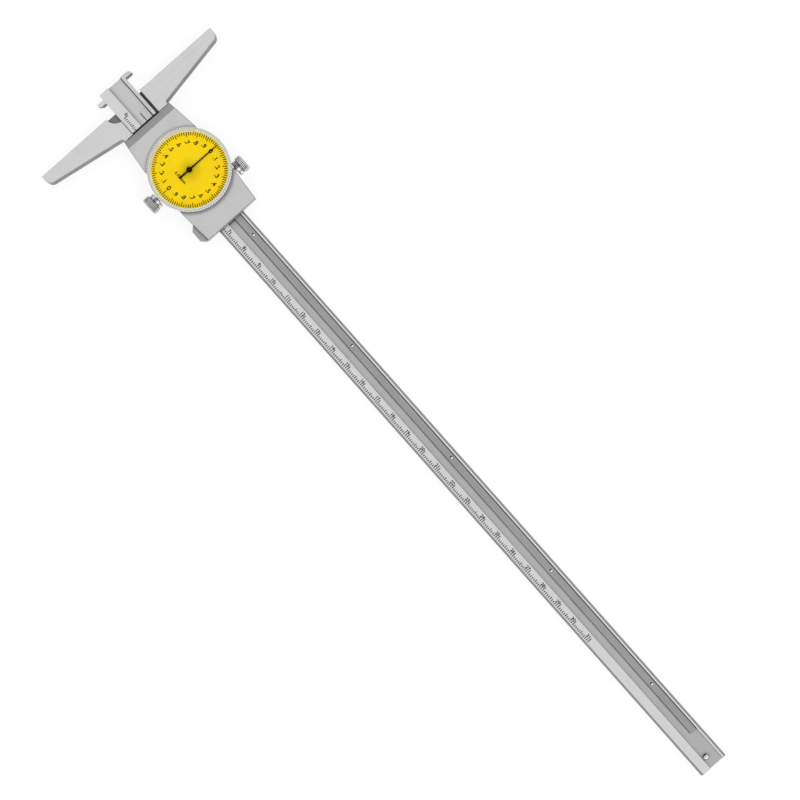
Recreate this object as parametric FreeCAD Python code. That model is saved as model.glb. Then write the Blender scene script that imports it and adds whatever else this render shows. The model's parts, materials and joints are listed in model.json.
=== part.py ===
import FreeCAD, Part
import math
import os

# Dial depth gauge with a double-hook beam, millimetres.
# X runs across the beam, +Y points out of the measuring face, +Z points to the dial.
# The origin lies on the measuring face, on the beam's centre line, half way through
# the web of the base behind the beam.  The gauge is drawn at a reading of 8.00 mm.

# ---------------------------------------------------------------- driving dimensions
# beam and its two hooks
beam_width = 14.0
beam_thickness = 4.0
beam_length = 402.0
beam_reach = 10.2               # from the measuring face to the beam's end, at rest
beam_bevel_width = 1.0          # long bevels along the two front edges
beam_bevel_drop = 0.6
beam_plain_end = 27.0           # length at the hooks' end that has no bevels
beam_back_chamfer = 0.3
beam_far_round = 0.8            # corners of the far end
right_hook_thickness = 2.2
right_hook_reach = 3.7
right_hook_round = 1.8
left_hook_setback = 2.6
left_hook_thickness = 2.3
left_hook_reach = 3.45
left_hook_corner = 1.6
left_hook_corner_rise = 1.2

# channel, rack and rack pins
channel_depth = 2.0
channel_wall_slope = 0.05
rack_pitch = 0.625
rack_width = 3.84
rack_thickness = 1.7
rack_end_margin = 17.7          # from the hooks' end of the beam to the rack
rack_far_margin = 17.0          # from the beam's far end to the rack
rack_pin_radius = 0.8
rack_pin_count = 6
rack_pin_pitch = 66.25
rack_pin_inset = 1.84           # pin axis to the rack's back edge
rack_first_pin = 8.65           # rack's end to its first pin
rack_pin_dome = 0.12            # rivet head over the rack
dome_shoulder = 0.7             # where a low dome turns down, share of radius and height
stop_screw_radius = 1.3
stop_screw_inset = 5.2          # stop screw to the beam's far end
stop_screw_proud = 0.6
stop_screw_shank_radius = 0.8
stop_screw_slot = 0.4
stop_screw_edge = 0.3

# measuring base and slider body
base_length = 100.0
base_thickness = 7.5
web_thickness = 2.75            # the wall behind the beam
arm_root_height = 11.6
arm_root_inset = 0.5            # arm root behind the body's side
arm_tip_height = 5.1
arm_tip_radius = 3.0
arm_edge_chamfer = 0.25
arm_root_fillet = 1.25          # where the left arm meets the body
relief_radius = 4.9             # quarter-round recess that takes the left hook
relief_floor_gap = 0.2
relief_offset = 0.3             # recess centre, in from the slot and from the face
body_offset_x = 0.9             # the body is wider on the side that holds the gib
body_front_y = -13.0            # reading edge
body_length = 58.55
body_front_half = 13.3
body_middle_half = 15.25
body_rear_half = 13.9
body_shoulder = 16.0            # length of the taper at each end
body_rear_slope = 2.0           # the rear face leans in by this much at the back
thumb_reach = 3.2
thumb_length = 9.8
thumb_rear_gap = 0.8
thumb_low_z = 0.3
thumb_thickness = 4.2
thumb_corner = 2.4

# gib, its set screws and the knurled lock screw
gib_thickness = 1.25
gib_end_gap = 3.5
gib_screw_radius = 1.0
gib_screw_length = 5.0
gib_screw_inset = 12.0          # set screw to each end of the body
lock_y = -54.9
lock_head_length = 2.9
lock_head_radius = 4.15
lock_collar_length = 2.4
lock_collar_radius = 3.65
lock_neck_gap = 0.6
thread_radius = 1.25
thread_point_radius = 0.9
thumb_edge = 0.3                # chamfers on the two knurled screws
thumb_waist_depth = 0.65        # groove each side of the polished collar

# cover and the drum under the bezel
cover_height = 3.7
cover_wall = 1.2
cover_roof = 1.2
cover_edge_chamfer = 0.35
bevel_run = 4.2                 # sloped front of the cover
bevel_lip = 0.55                # upright edge below the slope
reading_lip = 0.45              # tongue of the cover over the beam, in front of the reading edge
drum_radius = 18.1
cover_screw_radius = 1.0
cover_screw_head_radius = 1.9
cover_screw_inset_y = 7.0
cover_screw_inset_x = 3.5
cover_boss_radius = 2.1
cover_screw_bite = 1.9
screw_slot_width = 0.45
screw_slot_depth = 0.4

# movement: two wheels turned by the rack, both driving the pointer's pinion
pinion_teeth = 16
wheel_teeth = 100
centre_teeth = 20
train_module = 0.14
pinion_width = 1.6
wheel_thickness = 0.4
wheel_hub_radius = 1.5
wheel_float = 0.25
wheel_windows = 5
window_share = 0.42             # window radius in radii of the ring that the windows stand on
journal_radius = 0.6
arbor_tip_radius = 0.4
centre_pinion_width = 0.8
bush_radius = 1.25
movement_plate_thickness = 0.8
movement_plate_width = 24.0
movement_plate_length = 34.0
plate_screw_inset = 2.2
plate_screw_radius = 0.6
plate_screw_head_radius = 1.1
plate_screw_head_height = 0.5
plate_screw_bite = 2.4
plate_screw_slot_width = 0.3
plate_screw_slot_depth = 0.25
bridge_thickness = 0.8
bridge_arm_half = 2.6
bridge_span = 10.5              # dial axis to each pillar
pillar_radius = 1.3
bridge_end_margin = 0.6         # bridge beyond its pillars
bridge_bush_margin = 1.0        # bridge beyond the outer bushes
bridge_screw_bite = 1.25
spring_height = 0.5
spring_strip = 0.12
spring_turns = 5
spring_turn_steps = 24
spring_inner_radius = 1.15
spring_outer_radius = 4.4
spring_lift = 0.3
spring_stud_radius = 0.3
bridge_clearance = 0.35

# dial, pointer, bezel and crystal
dial_y = -42.5
dial_offset_x = 0.35            # the dial stands this far right of the body's middle
dial_radius = 17.9
dial_thickness = 0.4
dial_hole_radius = 1.1
dial_seat_height = 0.6          # above the cover's front face
bezel_radius = 19.0
bezel_height = 3.9
bezel_grip_height = 3.0
bezel_step = 0.5
bezel_edge = 0.2
bezel_crown_width = 0.35
bezel_crown_drop = 0.5
bezel_skirt_radius = 17.0
bezel_skirt_wall = 0.9
bezel_skirt_depth = 2.4
bezel_opening_radius = 17.75
crystal_thickness = 0.9
crystal_rim = 0.7
crystal_sink = 0.15
snap_ring_width = 0.5
snap_ring_bite = 0.2            # ring inside the skirt's outer radius
snap_ring_height = 0.4
snap_ring_drop = 0.75           # top of the ring below the cover's front face
snap_ring_gap_deg = 24.0
pointer_length = 16.6
pointer_tail = 5.8
pointer_width = 0.8
pointer_tip_width = 0.3
pointer_thickness = 0.2
pointer_hub_radius = 1.3
pointer_hub_height = 0.75
pointer_hub_wall = 0.35         # upright side of the hub
pointer_hub_face_radius = 0.9
pointer_hub_roof = 0.15
pointer_lift = 0.6
pointer_foot_half = 0.6
clamp_head_length = 3.4
clamp_head_radius = 4.3
clamp_collar_length = 2.0
clamp_collar_radius = 3.65
clamp_lug_half = 2.5
clamp_lug_reach = 0.75          # lug beyond the drum
clamp_plug_length = 0.9
clamp_drop = 0.1                # clamp axis below the middle of the drum's wall

# ------------------------------------------------------------------------ clearances
beam_gap = 0.03                 # beam in its slot, each way
gib_gap = 0.05
roof_gap = 0.2                  # beam's front face to the movement plate and cover
rack_seat_gap = 0.05
pin_gap = 0.01
thread_gap = 0.05
running_gap = 0.02              # journals in bushes
skirt_gap = 0.05                # bezel skirt in the drum
bezel_lift = 0.12               # bezel over the cover's face
clamp_clear = 0.25              # clamp collar beside the bezel
seat_gap = 0.02
pinion_side_gap = 0.1
pinion_floor_gap = 0.25
mesh_thin = 0.05                # teeth thinned at the pitch line
rack_mesh_gap = 0.02
pressure_angle = math.radians(20.0)
rack_addendum = 0.85            # in modules
rack_dedendum = 1.2
flank_steps = 4
fillet_limit = 0.9              # largest fillet, in walls
snap_ring_float = 0.08
root_overlap = 1.0              # joined forms run this far into each other
past = 1.0                      # cutting forms run this far past the face they enter
same_place = 1e-6

# -------------------------------------------------------------------- derived levels
back_z = -web_thickness / 2
slot_floor_z = web_thickness / 2
base_front_z = back_z + base_thickness
beam_back_z = slot_floor_z + beam_gap
beam_front_z = beam_back_z + beam_thickness
beam_mid_z = beam_back_z + beam_thickness / 2
wall_top_z = beam_front_z + roof_gap
channel_floor_z = beam_front_z - channel_depth
rack_front_z = channel_floor_z + rack_thickness
cover_top_z = wall_top_z + cover_height
roof_z = cover_top_z - cover_roof
plate_top_z = wall_top_z + movement_plate_thickness
wheel_z = plate_top_z + wheel_float
spring_z = wheel_z + wheel_thickness + spring_lift
bridge_z = spring_z + spring_height + bridge_clearance
bridge_top_z = bridge_z + bridge_thickness
bezel_low_z = cover_top_z + bezel_lift
bezel_top_z = bezel_low_z + bezel_height
dial_z = cover_top_z + dial_seat_height
dial_face_z = dial_z + dial_thickness
pointer_z = dial_face_z + pointer_lift
crystal_top_z = bezel_top_z - crystal_sink
clamp_z = (wall_top_z + cover_top_z) / 2 - clamp_drop

beam_top_y = beam_reach
beam_end_y = beam_reach - beam_length
beam_half = beam_width / 2
slot_left = -beam_half - beam_gap
gib_left = beam_half + beam_gap
gib_right = gib_left + gib_thickness
slot_right = gib_right + gib_gap
body_rear_y = body_front_y - body_length

rack_module = rack_pitch / math.pi
pinion_pitch_radius = pinion_teeth * rack_pitch / (2 * math.pi)
pinion_tip_radius = pinion_pitch_radius + rack_module * rack_addendum
rack_pitch_x = pinion_pitch_radius + rack_mesh_gap
rack_tip_x = rack_pitch_x - rack_module * rack_addendum
rack_root_x = rack_pitch_x + rack_module * rack_dedendum
rack_back_x = rack_tip_x + rack_width
channel_left = -pinion_tip_radius - pinion_side_gap
channel_right = rack_back_x + rack_seat_gap
rack_top_y = beam_top_y - rack_end_margin
rack_low_y = beam_end_y + rack_far_margin
stop_y = beam_end_y + stop_screw_inset

dial_x = body_offset_x + dial_offset_x
centre_distance = train_module * (wheel_teeth + centre_teeth) / 2
wheel_offset_y = math.sqrt(centre_distance ** 2 - dial_x ** 2)
drive_y = dial_y - wheel_offset_y
takeup_y = dial_y + wheel_offset_y


# --------------------------------------------------------------------------- helpers
def point(x, y, z=0.0):
    return FreeCAD.Vector(x, y, z)


def block(x0, x1, y0, y1, z0, z1):
    return Part.makeBox(x1 - x0, y1 - y0, z1 - z0, point(x0, y0, z0))


def post(x, y, z0, z1, radius):
    """Cylinder along Z."""
    return Part.makeCylinder(radius, z1 - z0, point(x, y, z0), point(0, 0, 1))


def crossbar(x0, x1, y, z, radius):
    """Cylinder along X."""
    return Part.makeCylinder(radius, x1 - x0, point(x0, y, z), point(1, 0, 0))


def closed_face(points):
    corners = [point(*p) for p in points]
    return Part.Face(Part.makePolygon(corners + corners[:1]))


def prism(outline, z0, z1):
    """Flat outline in X and Y, given a thickness along Z."""
    face = closed_face([(x, y, z0) for x, y in outline])
    return face.extrude(point(0, 0, z1 - z0))


def pierced(outline, holes, z0, z1):
    """Prism with round holes right through, given as x, y and radius."""
    rims = [Part.makePolygon([point(x, y, z0) for x, y in outline + outline[:1]])]
    for x, y, radius in holes:
        rims.append(Part.Wire(Part.makeCircle(radius, point(x, y, z0))))
    return Part.Face(rims, "Part::FaceMakerBullseye").extrude(point(0, 0, z1 - z0))


def turned(profile, x=0.0, y=0.0):
    """Radius and height pairs turned about a vertical axis."""
    face = closed_face([(x + radius, y, z) for radius, z in profile])
    return face.revolve(point(x, y), point(0, 0, 1), 360)


def turned_x(profile, y, z):
    """Station and radius pairs turned about an axis along X."""
    face = closed_face([(x, y, z + radius) for x, radius in profile])
    return face.revolve(point(0, y, z), point(1, 0, 0), 360)


def join(shapes):
    whole = shapes[0]
    for shape in shapes[1:]:
        whole = whole.fuse(shape)
    return whole.removeSplitter()


def edges_at(shape, z):
    """Edges that lie in the level z."""
    return [e for e in shape.Edges if all(abs(v.Z - z) < same_place for v in e.Vertexes)]


def solid_of(shape):
    """The single solid that a cut or a join leaves."""
    return shape.Solids[0] if len(shape.Solids) == 1 else shape


def save(name, shape):
    shape.exportStep("parts/" + name + ".step")


# ------------------------------------------------------------------------ tooth forms
def involute(angle):
    return math.tan(angle) - angle


def gear_outline(teeth, module, phase, x, y):
    """Spur gear outline with one tooth centred on the angle phase."""
    pitch_radius = module * teeth / 2
    base_radius = pitch_radius * math.cos(pressure_angle)
    root_radius = pitch_radius - module * rack_dedendum
    tip_radius = pitch_radius + module * rack_addendum
    half_at_pitch = (math.pi * module / 2 - mesh_thin) / (2 * pitch_radius)
    flank = [root_radius]
    first = max(base_radius, root_radius)
    for i in range(flank_steps + 1):
        flank.append(first + (tip_radius - first) * i / flank_steps)
    outline = []
    for tooth in range(teeth):
        middle = phase + 2 * math.pi * tooth / teeth
        side = []
        for radius in flank:
            lean = math.acos(min(1.0, base_radius / max(radius, base_radius)))
            half = half_at_pitch + involute(pressure_angle) - involute(lean)
            side.append((radius, half))
        for radius, half in side:
            outline.append((radius, middle - half))
        for radius, half in reversed(side):
            outline.append((radius, middle + half))
    return [(x + r * math.cos(a), y + r * math.sin(a)) for r, a in outline]


def rack_outline():
    """Rack seen from the dial side, with a gap centred opposite the drive pinion."""
    half = rack_pitch / 4 - mesh_thin / 2
    lean = math.tan(pressure_angle)
    tip_half = half - (rack_pitch_x - rack_tip_x) * lean
    root_half = half + (rack_root_x - rack_pitch_x) * lean
    first = drive_y + rack_pitch / 2
    count_up = int((rack_top_y - first - rack_pitch / 2) / rack_pitch)
    count_down = int((first - rack_low_y - rack_pitch / 2) / rack_pitch)
    edge = [(rack_back_x, rack_top_y), (rack_root_x, rack_top_y)]
    for i in range(count_up, -count_down - 1, -1):
        middle = first + i * rack_pitch
        edge.append((rack_root_x, middle + root_half))
        edge.append((rack_tip_x, middle + tip_half))
        edge.append((rack_tip_x, middle - tip_half))
        edge.append((rack_root_x, middle - root_half))
    edge.append((rack_root_x, rack_low_y))
    edge.append((rack_back_x, rack_low_y))
    return edge


def rack_pin_places():
    first = rack_top_y - rack_first_pin
    x = rack_back_x - rack_pin_inset
    return [(x, first - i * rack_pin_pitch) for i in range(rack_pin_count)]


# ------------------------------------------------------------------- beam and its kit
def left_hook():
    outer = -beam_half - left_hook_reach
    top = beam_top_y - left_hook_setback
    low = top - left_hook_thickness
    root = -beam_half + root_overlap
    outline = [(root, top), (outer, top), (outer, low + left_hook_corner_rise),
               (outer + left_hook_corner, low), (root, low)]
    return prism(outline, beam_back_z, beam_front_z)


def right_hook():
    outer = beam_half + right_hook_reach
    low = beam_top_y - right_hook_thickness
    root = beam_half - root_overlap
    hook = block(root, outer, low, beam_top_y, beam_back_z, beam_front_z)
    corner = [e for e in hook.Edges
              if all(abs(v.X - outer) < same_place and abs(v.Y - beam_top_y) < same_place
                     for v in e.Vertexes)]
    return hook.makeFillet(min(right_hook_round, right_hook_thickness * fillet_limit), corner)


def bevel_cutter(side):
    """Cuts the long bevel of one edge, from the far end up to the plain end."""
    edge = side * beam_half
    level = beam_front_z - beam_bevel_drop
    section = [(edge - side * beam_bevel_width, beam_front_z), (edge, level),
               (edge + side * past, level), (edge + side * past, beam_front_z + past),
               (edge - side * beam_bevel_width, beam_front_z + past)]
    face = closed_face([(x, beam_end_y - past, z) for x, z in section])
    return face.extrude(point(0, beam_length - beam_plain_end + past, 0))


def beam_bar():
    section = [(-beam_half, beam_back_z + beam_back_chamfer),
               (-beam_half, beam_front_z),
               (channel_left - channel_wall_slope, beam_front_z),
               (channel_left, channel_floor_z),
               (channel_right, channel_floor_z),
               (channel_right, beam_front_z),
               (beam_half, beam_front_z),
               (beam_half, beam_back_z + beam_back_chamfer),
               (beam_half - beam_back_chamfer, beam_back_z),
               (-beam_half + beam_back_chamfer, beam_back_z)]
    face = closed_face([(x, beam_end_y, z) for x, z in section])
    bar = face.extrude(point(0, beam_length, 0))
    for side in (-1, 1):
        bar = bar.cut(bevel_cutter(side))
    plan = block(-beam_half, beam_half, beam_end_y, beam_top_y + past, beam_back_z - past,
                 beam_front_z + past)
    corners = [e for e in plan.Edges if all(abs(v.Y - beam_end_y) < same_place for v in e.Vertexes)
               and abs(e.Vertexes[0].Z - e.Vertexes[1].Z) > beam_thickness]
    return bar.common(plan.makeFillet(beam_far_round, corners))


def beam():
    whole = join([beam_bar(), left_hook(), right_hook()])
    for x, y in rack_pin_places():
        whole = whole.cut(post(x, y, beam_back_z - past, beam_front_z, rack_pin_radius))
    shank_hole = post(0, stop_y, beam_back_z - past, beam_front_z, stop_screw_shank_radius)
    whole = whole.cut(shank_hole)
    return solid_of(whole)


def rack():
    holes = [(x, y, rack_pin_radius) for x, y in rack_pin_places()]
    return pierced(rack_outline(), holes, channel_floor_z, rack_front_z)


def rack_pins():
    """Riveted pins that hold the rack in the channel."""
    radius = rack_pin_radius - pin_gap
    pins = []
    for x, y in rack_pin_places():
        profile = [(0, beam_back_z), (radius, beam_back_z), (radius, rack_front_z),
                   (radius * dome_shoulder, rack_front_z + rack_pin_dome * dome_shoulder),
                   (0, rack_front_z + rack_pin_dome)]
        pins.append(turned(profile, x, y))
    return Part.makeCompound(pins)


def end_stop_screw():
    top = beam_front_z + stop_screw_proud
    shank = stop_screw_shank_radius - pin_gap
    profile = [(0, beam_back_z), (shank, beam_back_z), (shank, channel_floor_z),
               (stop_screw_radius, channel_floor_z), (stop_screw_radius, top - stop_screw_edge),
               (stop_screw_radius - stop_screw_edge, top), (0, top)]
    screw = turned(profile, 0, stop_y)
    slot = block(-stop_screw_radius, stop_screw_radius, stop_y - stop_screw_slot / 2,
                 stop_y + stop_screw_slot / 2, top - stop_screw_slot, top + past)
    return solid_of(screw.cut(slot))


# --------------------------------------------------------------- base and slider body
def body_outline(inset=0.0, front_y=body_front_y, rear_y=body_rear_y):
    """Plan of the slider body and its cover, tapered at both ends."""
    def half_at(y):
        front = body_front_y - body_shoulder
        rear = body_rear_y + body_shoulder
        if y > front:
            share = (y - front) / body_shoulder
            return body_middle_half + (body_front_half - body_middle_half) * share
        if y < rear:
            share = (rear - y) / body_shoulder
            return body_middle_half + (body_rear_half - body_middle_half) * share
        return body_middle_half
    stations = [front_y, body_front_y - body_shoulder, body_rear_y + body_shoulder, rear_y]
    right = [(body_offset_x + half_at(y) - inset, y) for y in stations]
    left = [(body_offset_x - half_at(y) + inset, y) for y in reversed(stations)]
    return right + left


def arms():
    """The two arms of the measuring base, as one bar across the body."""
    half = base_length / 2
    root_left = body_offset_x - body_front_half + arm_root_inset
    root_right = body_offset_x + body_front_half - arm_root_inset
    root_room = -body_front_y - arm_root_height
    outline = [(-half, 0), (-half, -arm_tip_height), (root_left, -arm_root_height),
               (root_left, body_front_y), (root_right, body_front_y),
               (root_right, -arm_root_height), (half, -arm_tip_height), (half, 0)]
    bar = prism(outline, back_z, base_front_z)
    corner = [e for e in bar.Edges
              if all(abs(abs(v.X) - half) < same_place and abs(v.Y + arm_tip_height) < same_place
                     for v in e.Vertexes)]
    bar = bar.makeFillet(min(arm_tip_radius, arm_tip_height * fillet_limit), corner)
    root = [e for e in bar.Edges
            if all(abs(v.X - root_left) < same_place and abs(v.Y + arm_root_height) < same_place
                   for v in e.Vertexes)]
    bar = bar.makeFillet(min(arm_root_fillet, root_room * fillet_limit), root)
    rims = [e for e in edges_at(bar, base_front_z) + edges_at(bar, back_z)
            if not all(abs(v.Y - body_front_y) < same_place for v in e.Vertexes)]
    return bar.makeChamfer(arm_edge_chamfer, rims)


def thumb_rest():
    """Thumb piece on the left side, in one with the body."""
    inner = body_offset_x - body_rear_half + root_overlap
    outer = body_offset_x - body_rear_half - thumb_reach
    low = body_rear_y + thumb_rear_gap
    high = low + thumb_length
    outline = [(inner, low), (outer + thumb_corner, low), (outer, low + thumb_corner),
               (outer, high - thumb_corner), (outer + thumb_corner, high), (inner, high)]
    return prism(outline, thumb_low_z, thumb_low_z + thumb_thickness)


def cover_screw_places():
    left = body_offset_x - body_rear_half + cover_screw_inset_x
    right = body_offset_x + body_rear_half - cover_screw_inset_x
    front = body_front_y - cover_screw_inset_y
    rear = body_rear_y + cover_screw_inset_y
    return [(x, y) for x in (left, right) for y in (front, rear)]


def plate_screw_places():
    across = movement_plate_width / 2 - plate_screw_inset
    along = movement_plate_length / 2 - plate_screw_inset
    return [(dial_x + i * across, dial_y + j * along) for i in (-1, 1) for j in (-1, 1)]


def gib_screw_places():
    return [body_front_y - gib_screw_inset, body_rear_y + gib_screw_inset]


def body_slab():
    """The slider body under the cover, with the thumb piece.  Its rear face leans in towards the back."""
    slab = join([prism(body_outline(), back_z, wall_top_z), thumb_rest()])
    lean = [(body_rear_y, wall_top_z), (body_rear_y + body_rear_slope, back_z),
            (body_rear_y + body_rear_slope, back_z - past), (body_rear_y - past, back_z - past),
            (body_rear_y - past, wall_top_z)]
    wedge = closed_face([(-base_length, y, z) for y, z in lean])
    return slab.cut(wedge.extrude(point(2 * base_length, 0, 0)))


def base_frame():
    whole = join([body_slab(), arms()])
    far = base_length
    whole = whole.cut(block(slot_left, slot_right, -far, far, slot_floor_z, far))
    relief = post(slot_left + relief_offset, -relief_offset, beam_back_z - relief_floor_gap, far,
                  relief_radius)
    relief = relief.common(block(-far, slot_left, -far, far, -far, far))
    whole = whole.cut(relief)
    for x, y in cover_screw_places():
        whole = whole.cut(post(x, y, back_z - past, wall_top_z + past, cover_screw_radius + thread_gap))
        whole = whole.cut(countersink(x, y))
    for x, y in plate_screw_places():
        low = wall_top_z - plate_screw_bite - thread_gap
        whole = whole.cut(post(x, y, low, wall_top_z + past, plate_screw_radius + thread_gap))
    bore_start = slot_right - past
    for y in gib_screw_places():
        whole = whole.cut(crossbar(bore_start, far, y, beam_mid_z, gib_screw_radius + thread_gap))
    whole = whole.cut(crossbar(bore_start, far, lock_y, beam_mid_z, thread_radius + thread_gap))
    return solid_of(whole)


def countersink(x, y):
    depth = cover_screw_head_radius - cover_screw_radius
    profile = [(0, back_z - past), (cover_screw_head_radius + seat_gap, back_z - past),
               (cover_screw_head_radius + seat_gap, back_z + seat_gap),
               (cover_screw_radius + seat_gap, back_z + depth + seat_gap),
               (0, back_z + depth + seat_gap)]
    return turned(profile, x, y)


def cover_screws():
    depth = cover_screw_head_radius - cover_screw_radius
    top = wall_top_z + cover_screw_bite
    screws = []
    for x, y in cover_screw_places():
        profile = [(0, back_z), (cover_screw_head_radius, back_z),
                   (cover_screw_radius, back_z + depth), (cover_screw_radius, top), (0, top)]
        slot = block(x - cover_screw_head_radius, x + cover_screw_head_radius,
                     y - screw_slot_width / 2, y + screw_slot_width / 2,
                     back_z - past, back_z + screw_slot_depth)
        screws.append(turned(profile, x, y).cut(slot))
    return Part.makeCompound(screws)


# --------------------------------------------------------------------- gib and screws
def gib_strip():
    strip = block(gib_left, gib_right, body_rear_y + gib_end_gap, body_front_y - gib_end_gap,
                  slot_floor_z + beam_gap, beam_front_z)
    return strip


def gib_set_screws():
    screws = []
    for y in gib_screw_places():
        left = gib_right + seat_gap
        right = left + gib_screw_length
        screw = crossbar(left, right, y, beam_mid_z, gib_screw_radius)
        slot = block(right - screw_slot_depth, right + past, y - screw_slot_width / 2,
                     y + screw_slot_width / 2, beam_mid_z - gib_screw_radius,
                     beam_mid_z + gib_screw_radius)
        screws.append(screw.cut(slot))
    return Part.makeCompound(screws)


def knurled_screw(tip, neck, collar_length, collar_radius, head_length, head_radius, y, z):
    """Thumb screw along +X: stem from tip to neck, polished collar, knurled head."""
    waist = collar_radius - thumb_waist_depth
    collar_end = neck + collar_length
    head_end = collar_end + head_length
    groove = collar_end - thumb_edge
    profile = [(tip, 0), (tip, thread_point_radius), (tip + thumb_edge, thread_radius),
               (neck, thread_radius), (neck, waist), (neck + thumb_edge, collar_radius),
               (groove - thumb_edge, collar_radius), (groove, waist),
               (collar_end, waist), (collar_end, head_radius - thumb_edge),
               (collar_end + thumb_edge, head_radius), (head_end - thumb_edge, head_radius),
               (head_end, head_radius - thumb_edge), (head_end, 0)]
    return turned_x(profile, y, z)


def lock_screw():
    neck = body_offset_x + body_middle_half + lock_neck_gap
    return knurled_screw(gib_right + seat_gap, neck, lock_collar_length, lock_collar_radius,
                         lock_head_length, lock_head_radius, lock_y, beam_mid_z)


def clamp_plug_span():
    """Inner and outer radius of the brass plug, from the dial axis."""
    inner = bezel_skirt_radius + skirt_gap
    return inner, inner + clamp_plug_length


def bezel_clamp_screw():
    tip = clamp_plug_span()[1] + seat_gap
    neck = bezel_radius + clamp_clear
    screw = knurled_screw(tip, neck, clamp_collar_length, clamp_collar_radius,
                          clamp_head_length, clamp_head_radius, 0, 0)
    screw.rotate(point(0, 0), point(0, 0, 1), 180)
    screw.translate(point(dial_x, dial_y, clamp_z))
    return screw


def bezel_clamp_plug():
    inner, outer = clamp_plug_span()
    radius = thread_radius - thread_gap * 2
    return crossbar(dial_x - outer, dial_x - inner, dial_y, clamp_z, radius)


# ------------------------------------------------------------------------ front cover
def cover_shell():
    outer = prism(body_outline(), wall_top_z, cover_top_z)
    outer = outer.makeChamfer(cover_edge_chamfer, edges_at(outer, cover_top_z))
    slope = [(body_front_y + past, wall_top_z + bevel_lip), (body_front_y, wall_top_z + bevel_lip),
             (body_front_y - bevel_run, cover_top_z), (body_front_y - bevel_run, cover_top_z + past),
             (body_front_y + past, cover_top_z + past)]
    wedge = closed_face([(-base_length, y, z) for y, z in slope])
    return outer.cut(wedge.extrude(point(2 * base_length, 0, 0)))


def cover_cavity():
    front = body_front_y - bevel_run - cover_wall
    rear = body_rear_y + cover_wall
    room = prism(body_outline(cover_wall, front, rear), wall_top_z, roof_z)
    for x, y in cover_screw_places():
        room = room.cut(post(x, y, wall_top_z, roof_z, cover_boss_radius))
    return room


def snap_ring_levels():
    top = cover_top_z - snap_ring_drop
    return top - snap_ring_height, top


def snap_ring_span():
    """Inner and outer radius of the ring."""
    inner = bezel_skirt_radius - snap_ring_bite
    return inner, inner + snap_ring_width


def front_cover():
    drum = post(dial_x, dial_y, wall_top_z, cover_top_z, drum_radius)
    lug = block(dial_x - drum_radius - clamp_lug_reach, dial_x, dial_y - clamp_lug_half,
                dial_y + clamp_lug_half, wall_top_z, cover_top_z)
    tongue = block(slot_left + seat_gap, slot_right - seat_gap, body_front_y - root_overlap,
                   body_front_y + reading_lip, wall_top_z, wall_top_z + bevel_lip)
    whole = join([cover_shell(), drum, lug, tongue])
    bore = post(dial_x, dial_y, wall_top_z, cover_top_z + past, bezel_skirt_radius + skirt_gap)
    whole = whole.cut(bore).cut(cover_cavity())
    low, high = snap_ring_levels()
    groove = post(dial_x, dial_y, low - seat_gap, high + seat_gap, snap_ring_span()[1] + skirt_gap)
    whole = whole.cut(groove)
    thread = crossbar(dial_x - bezel_radius - past, dial_x - bezel_skirt_radius + past, dial_y, clamp_z,
                      thread_radius + thread_gap)
    whole = whole.cut(thread)
    for x, y in cover_screw_places():
        high = wall_top_z + cover_screw_bite + thread_gap
        whole = whole.cut(post(x, y, wall_top_z, high, cover_screw_radius + thread_gap))
    return solid_of(whole)


# --------------------------------------------------------------------------- movement
def shaft_places():
    return [(0.0, drive_y), (0.0, takeup_y), (dial_x, dial_y)]


def movement_plate():
    half_x = movement_plate_width / 2
    half_y = movement_plate_length / 2
    plate = block(dial_x - half_x, dial_x + half_x, dial_y - half_y, dial_y + half_y,
                  wall_top_z, plate_top_z)
    for x, y in shaft_places():
        plate = plate.cut(post(x, y, wall_top_z - past, plate_top_z + past, bush_radius + pin_gap))
    hole_radius = plate_screw_radius + thread_gap
    for x, y in plate_screw_places() + pillar_places():
        plate = plate.cut(post(x, y, wall_top_z - past, plate_top_z + past, hole_radius))
    return solid_of(plate)


def small_screw(x, y, head_z, length):
    """Slotted cheese-head screw, its head standing on the level head_z."""
    top = head_z + plate_screw_head_height
    profile = [(0, head_z - length), (plate_screw_radius, head_z - length),
               (plate_screw_radius, head_z), (plate_screw_head_radius, head_z),
               (plate_screw_head_radius, top), (0, top)]
    slot = block(x - plate_screw_head_radius, x + plate_screw_head_radius,
                 y - plate_screw_slot_width / 2, y + plate_screw_slot_width / 2,
                 top - plate_screw_slot_depth, top + past)
    return turned(profile, x, y).cut(slot)


def movement_plate_screws():
    length = movement_plate_thickness + plate_screw_bite
    return Part.makeCompound([small_screw(x, y, plate_top_z, length) for x, y in plate_screw_places()])


def pillar_places():
    return [(dial_x - bridge_span, dial_y), (dial_x + bridge_span, dial_y)]


def bridge_pillars():
    """Turned pillars between the movement plate and the bridge."""
    pillars = []
    for x, y in pillar_places():
        pillar = post(x, y, plate_top_z, bridge_z, pillar_radius)
        foot = post(x, y, wall_top_z, plate_top_z, plate_screw_radius)
        depth = bridge_screw_bite + thread_gap
        hole = post(x, y, bridge_z - depth, bridge_z, plate_screw_radius + thread_gap)
        pillars.append(pillar.fuse(foot).cut(hole))
    return Part.makeCompound(pillars)


def bridge_screws():
    length = bridge_thickness + bridge_screw_bite
    return Part.makeCompound([small_screw(x, y, bridge_top_z, length) for x, y in pillar_places()])


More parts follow.
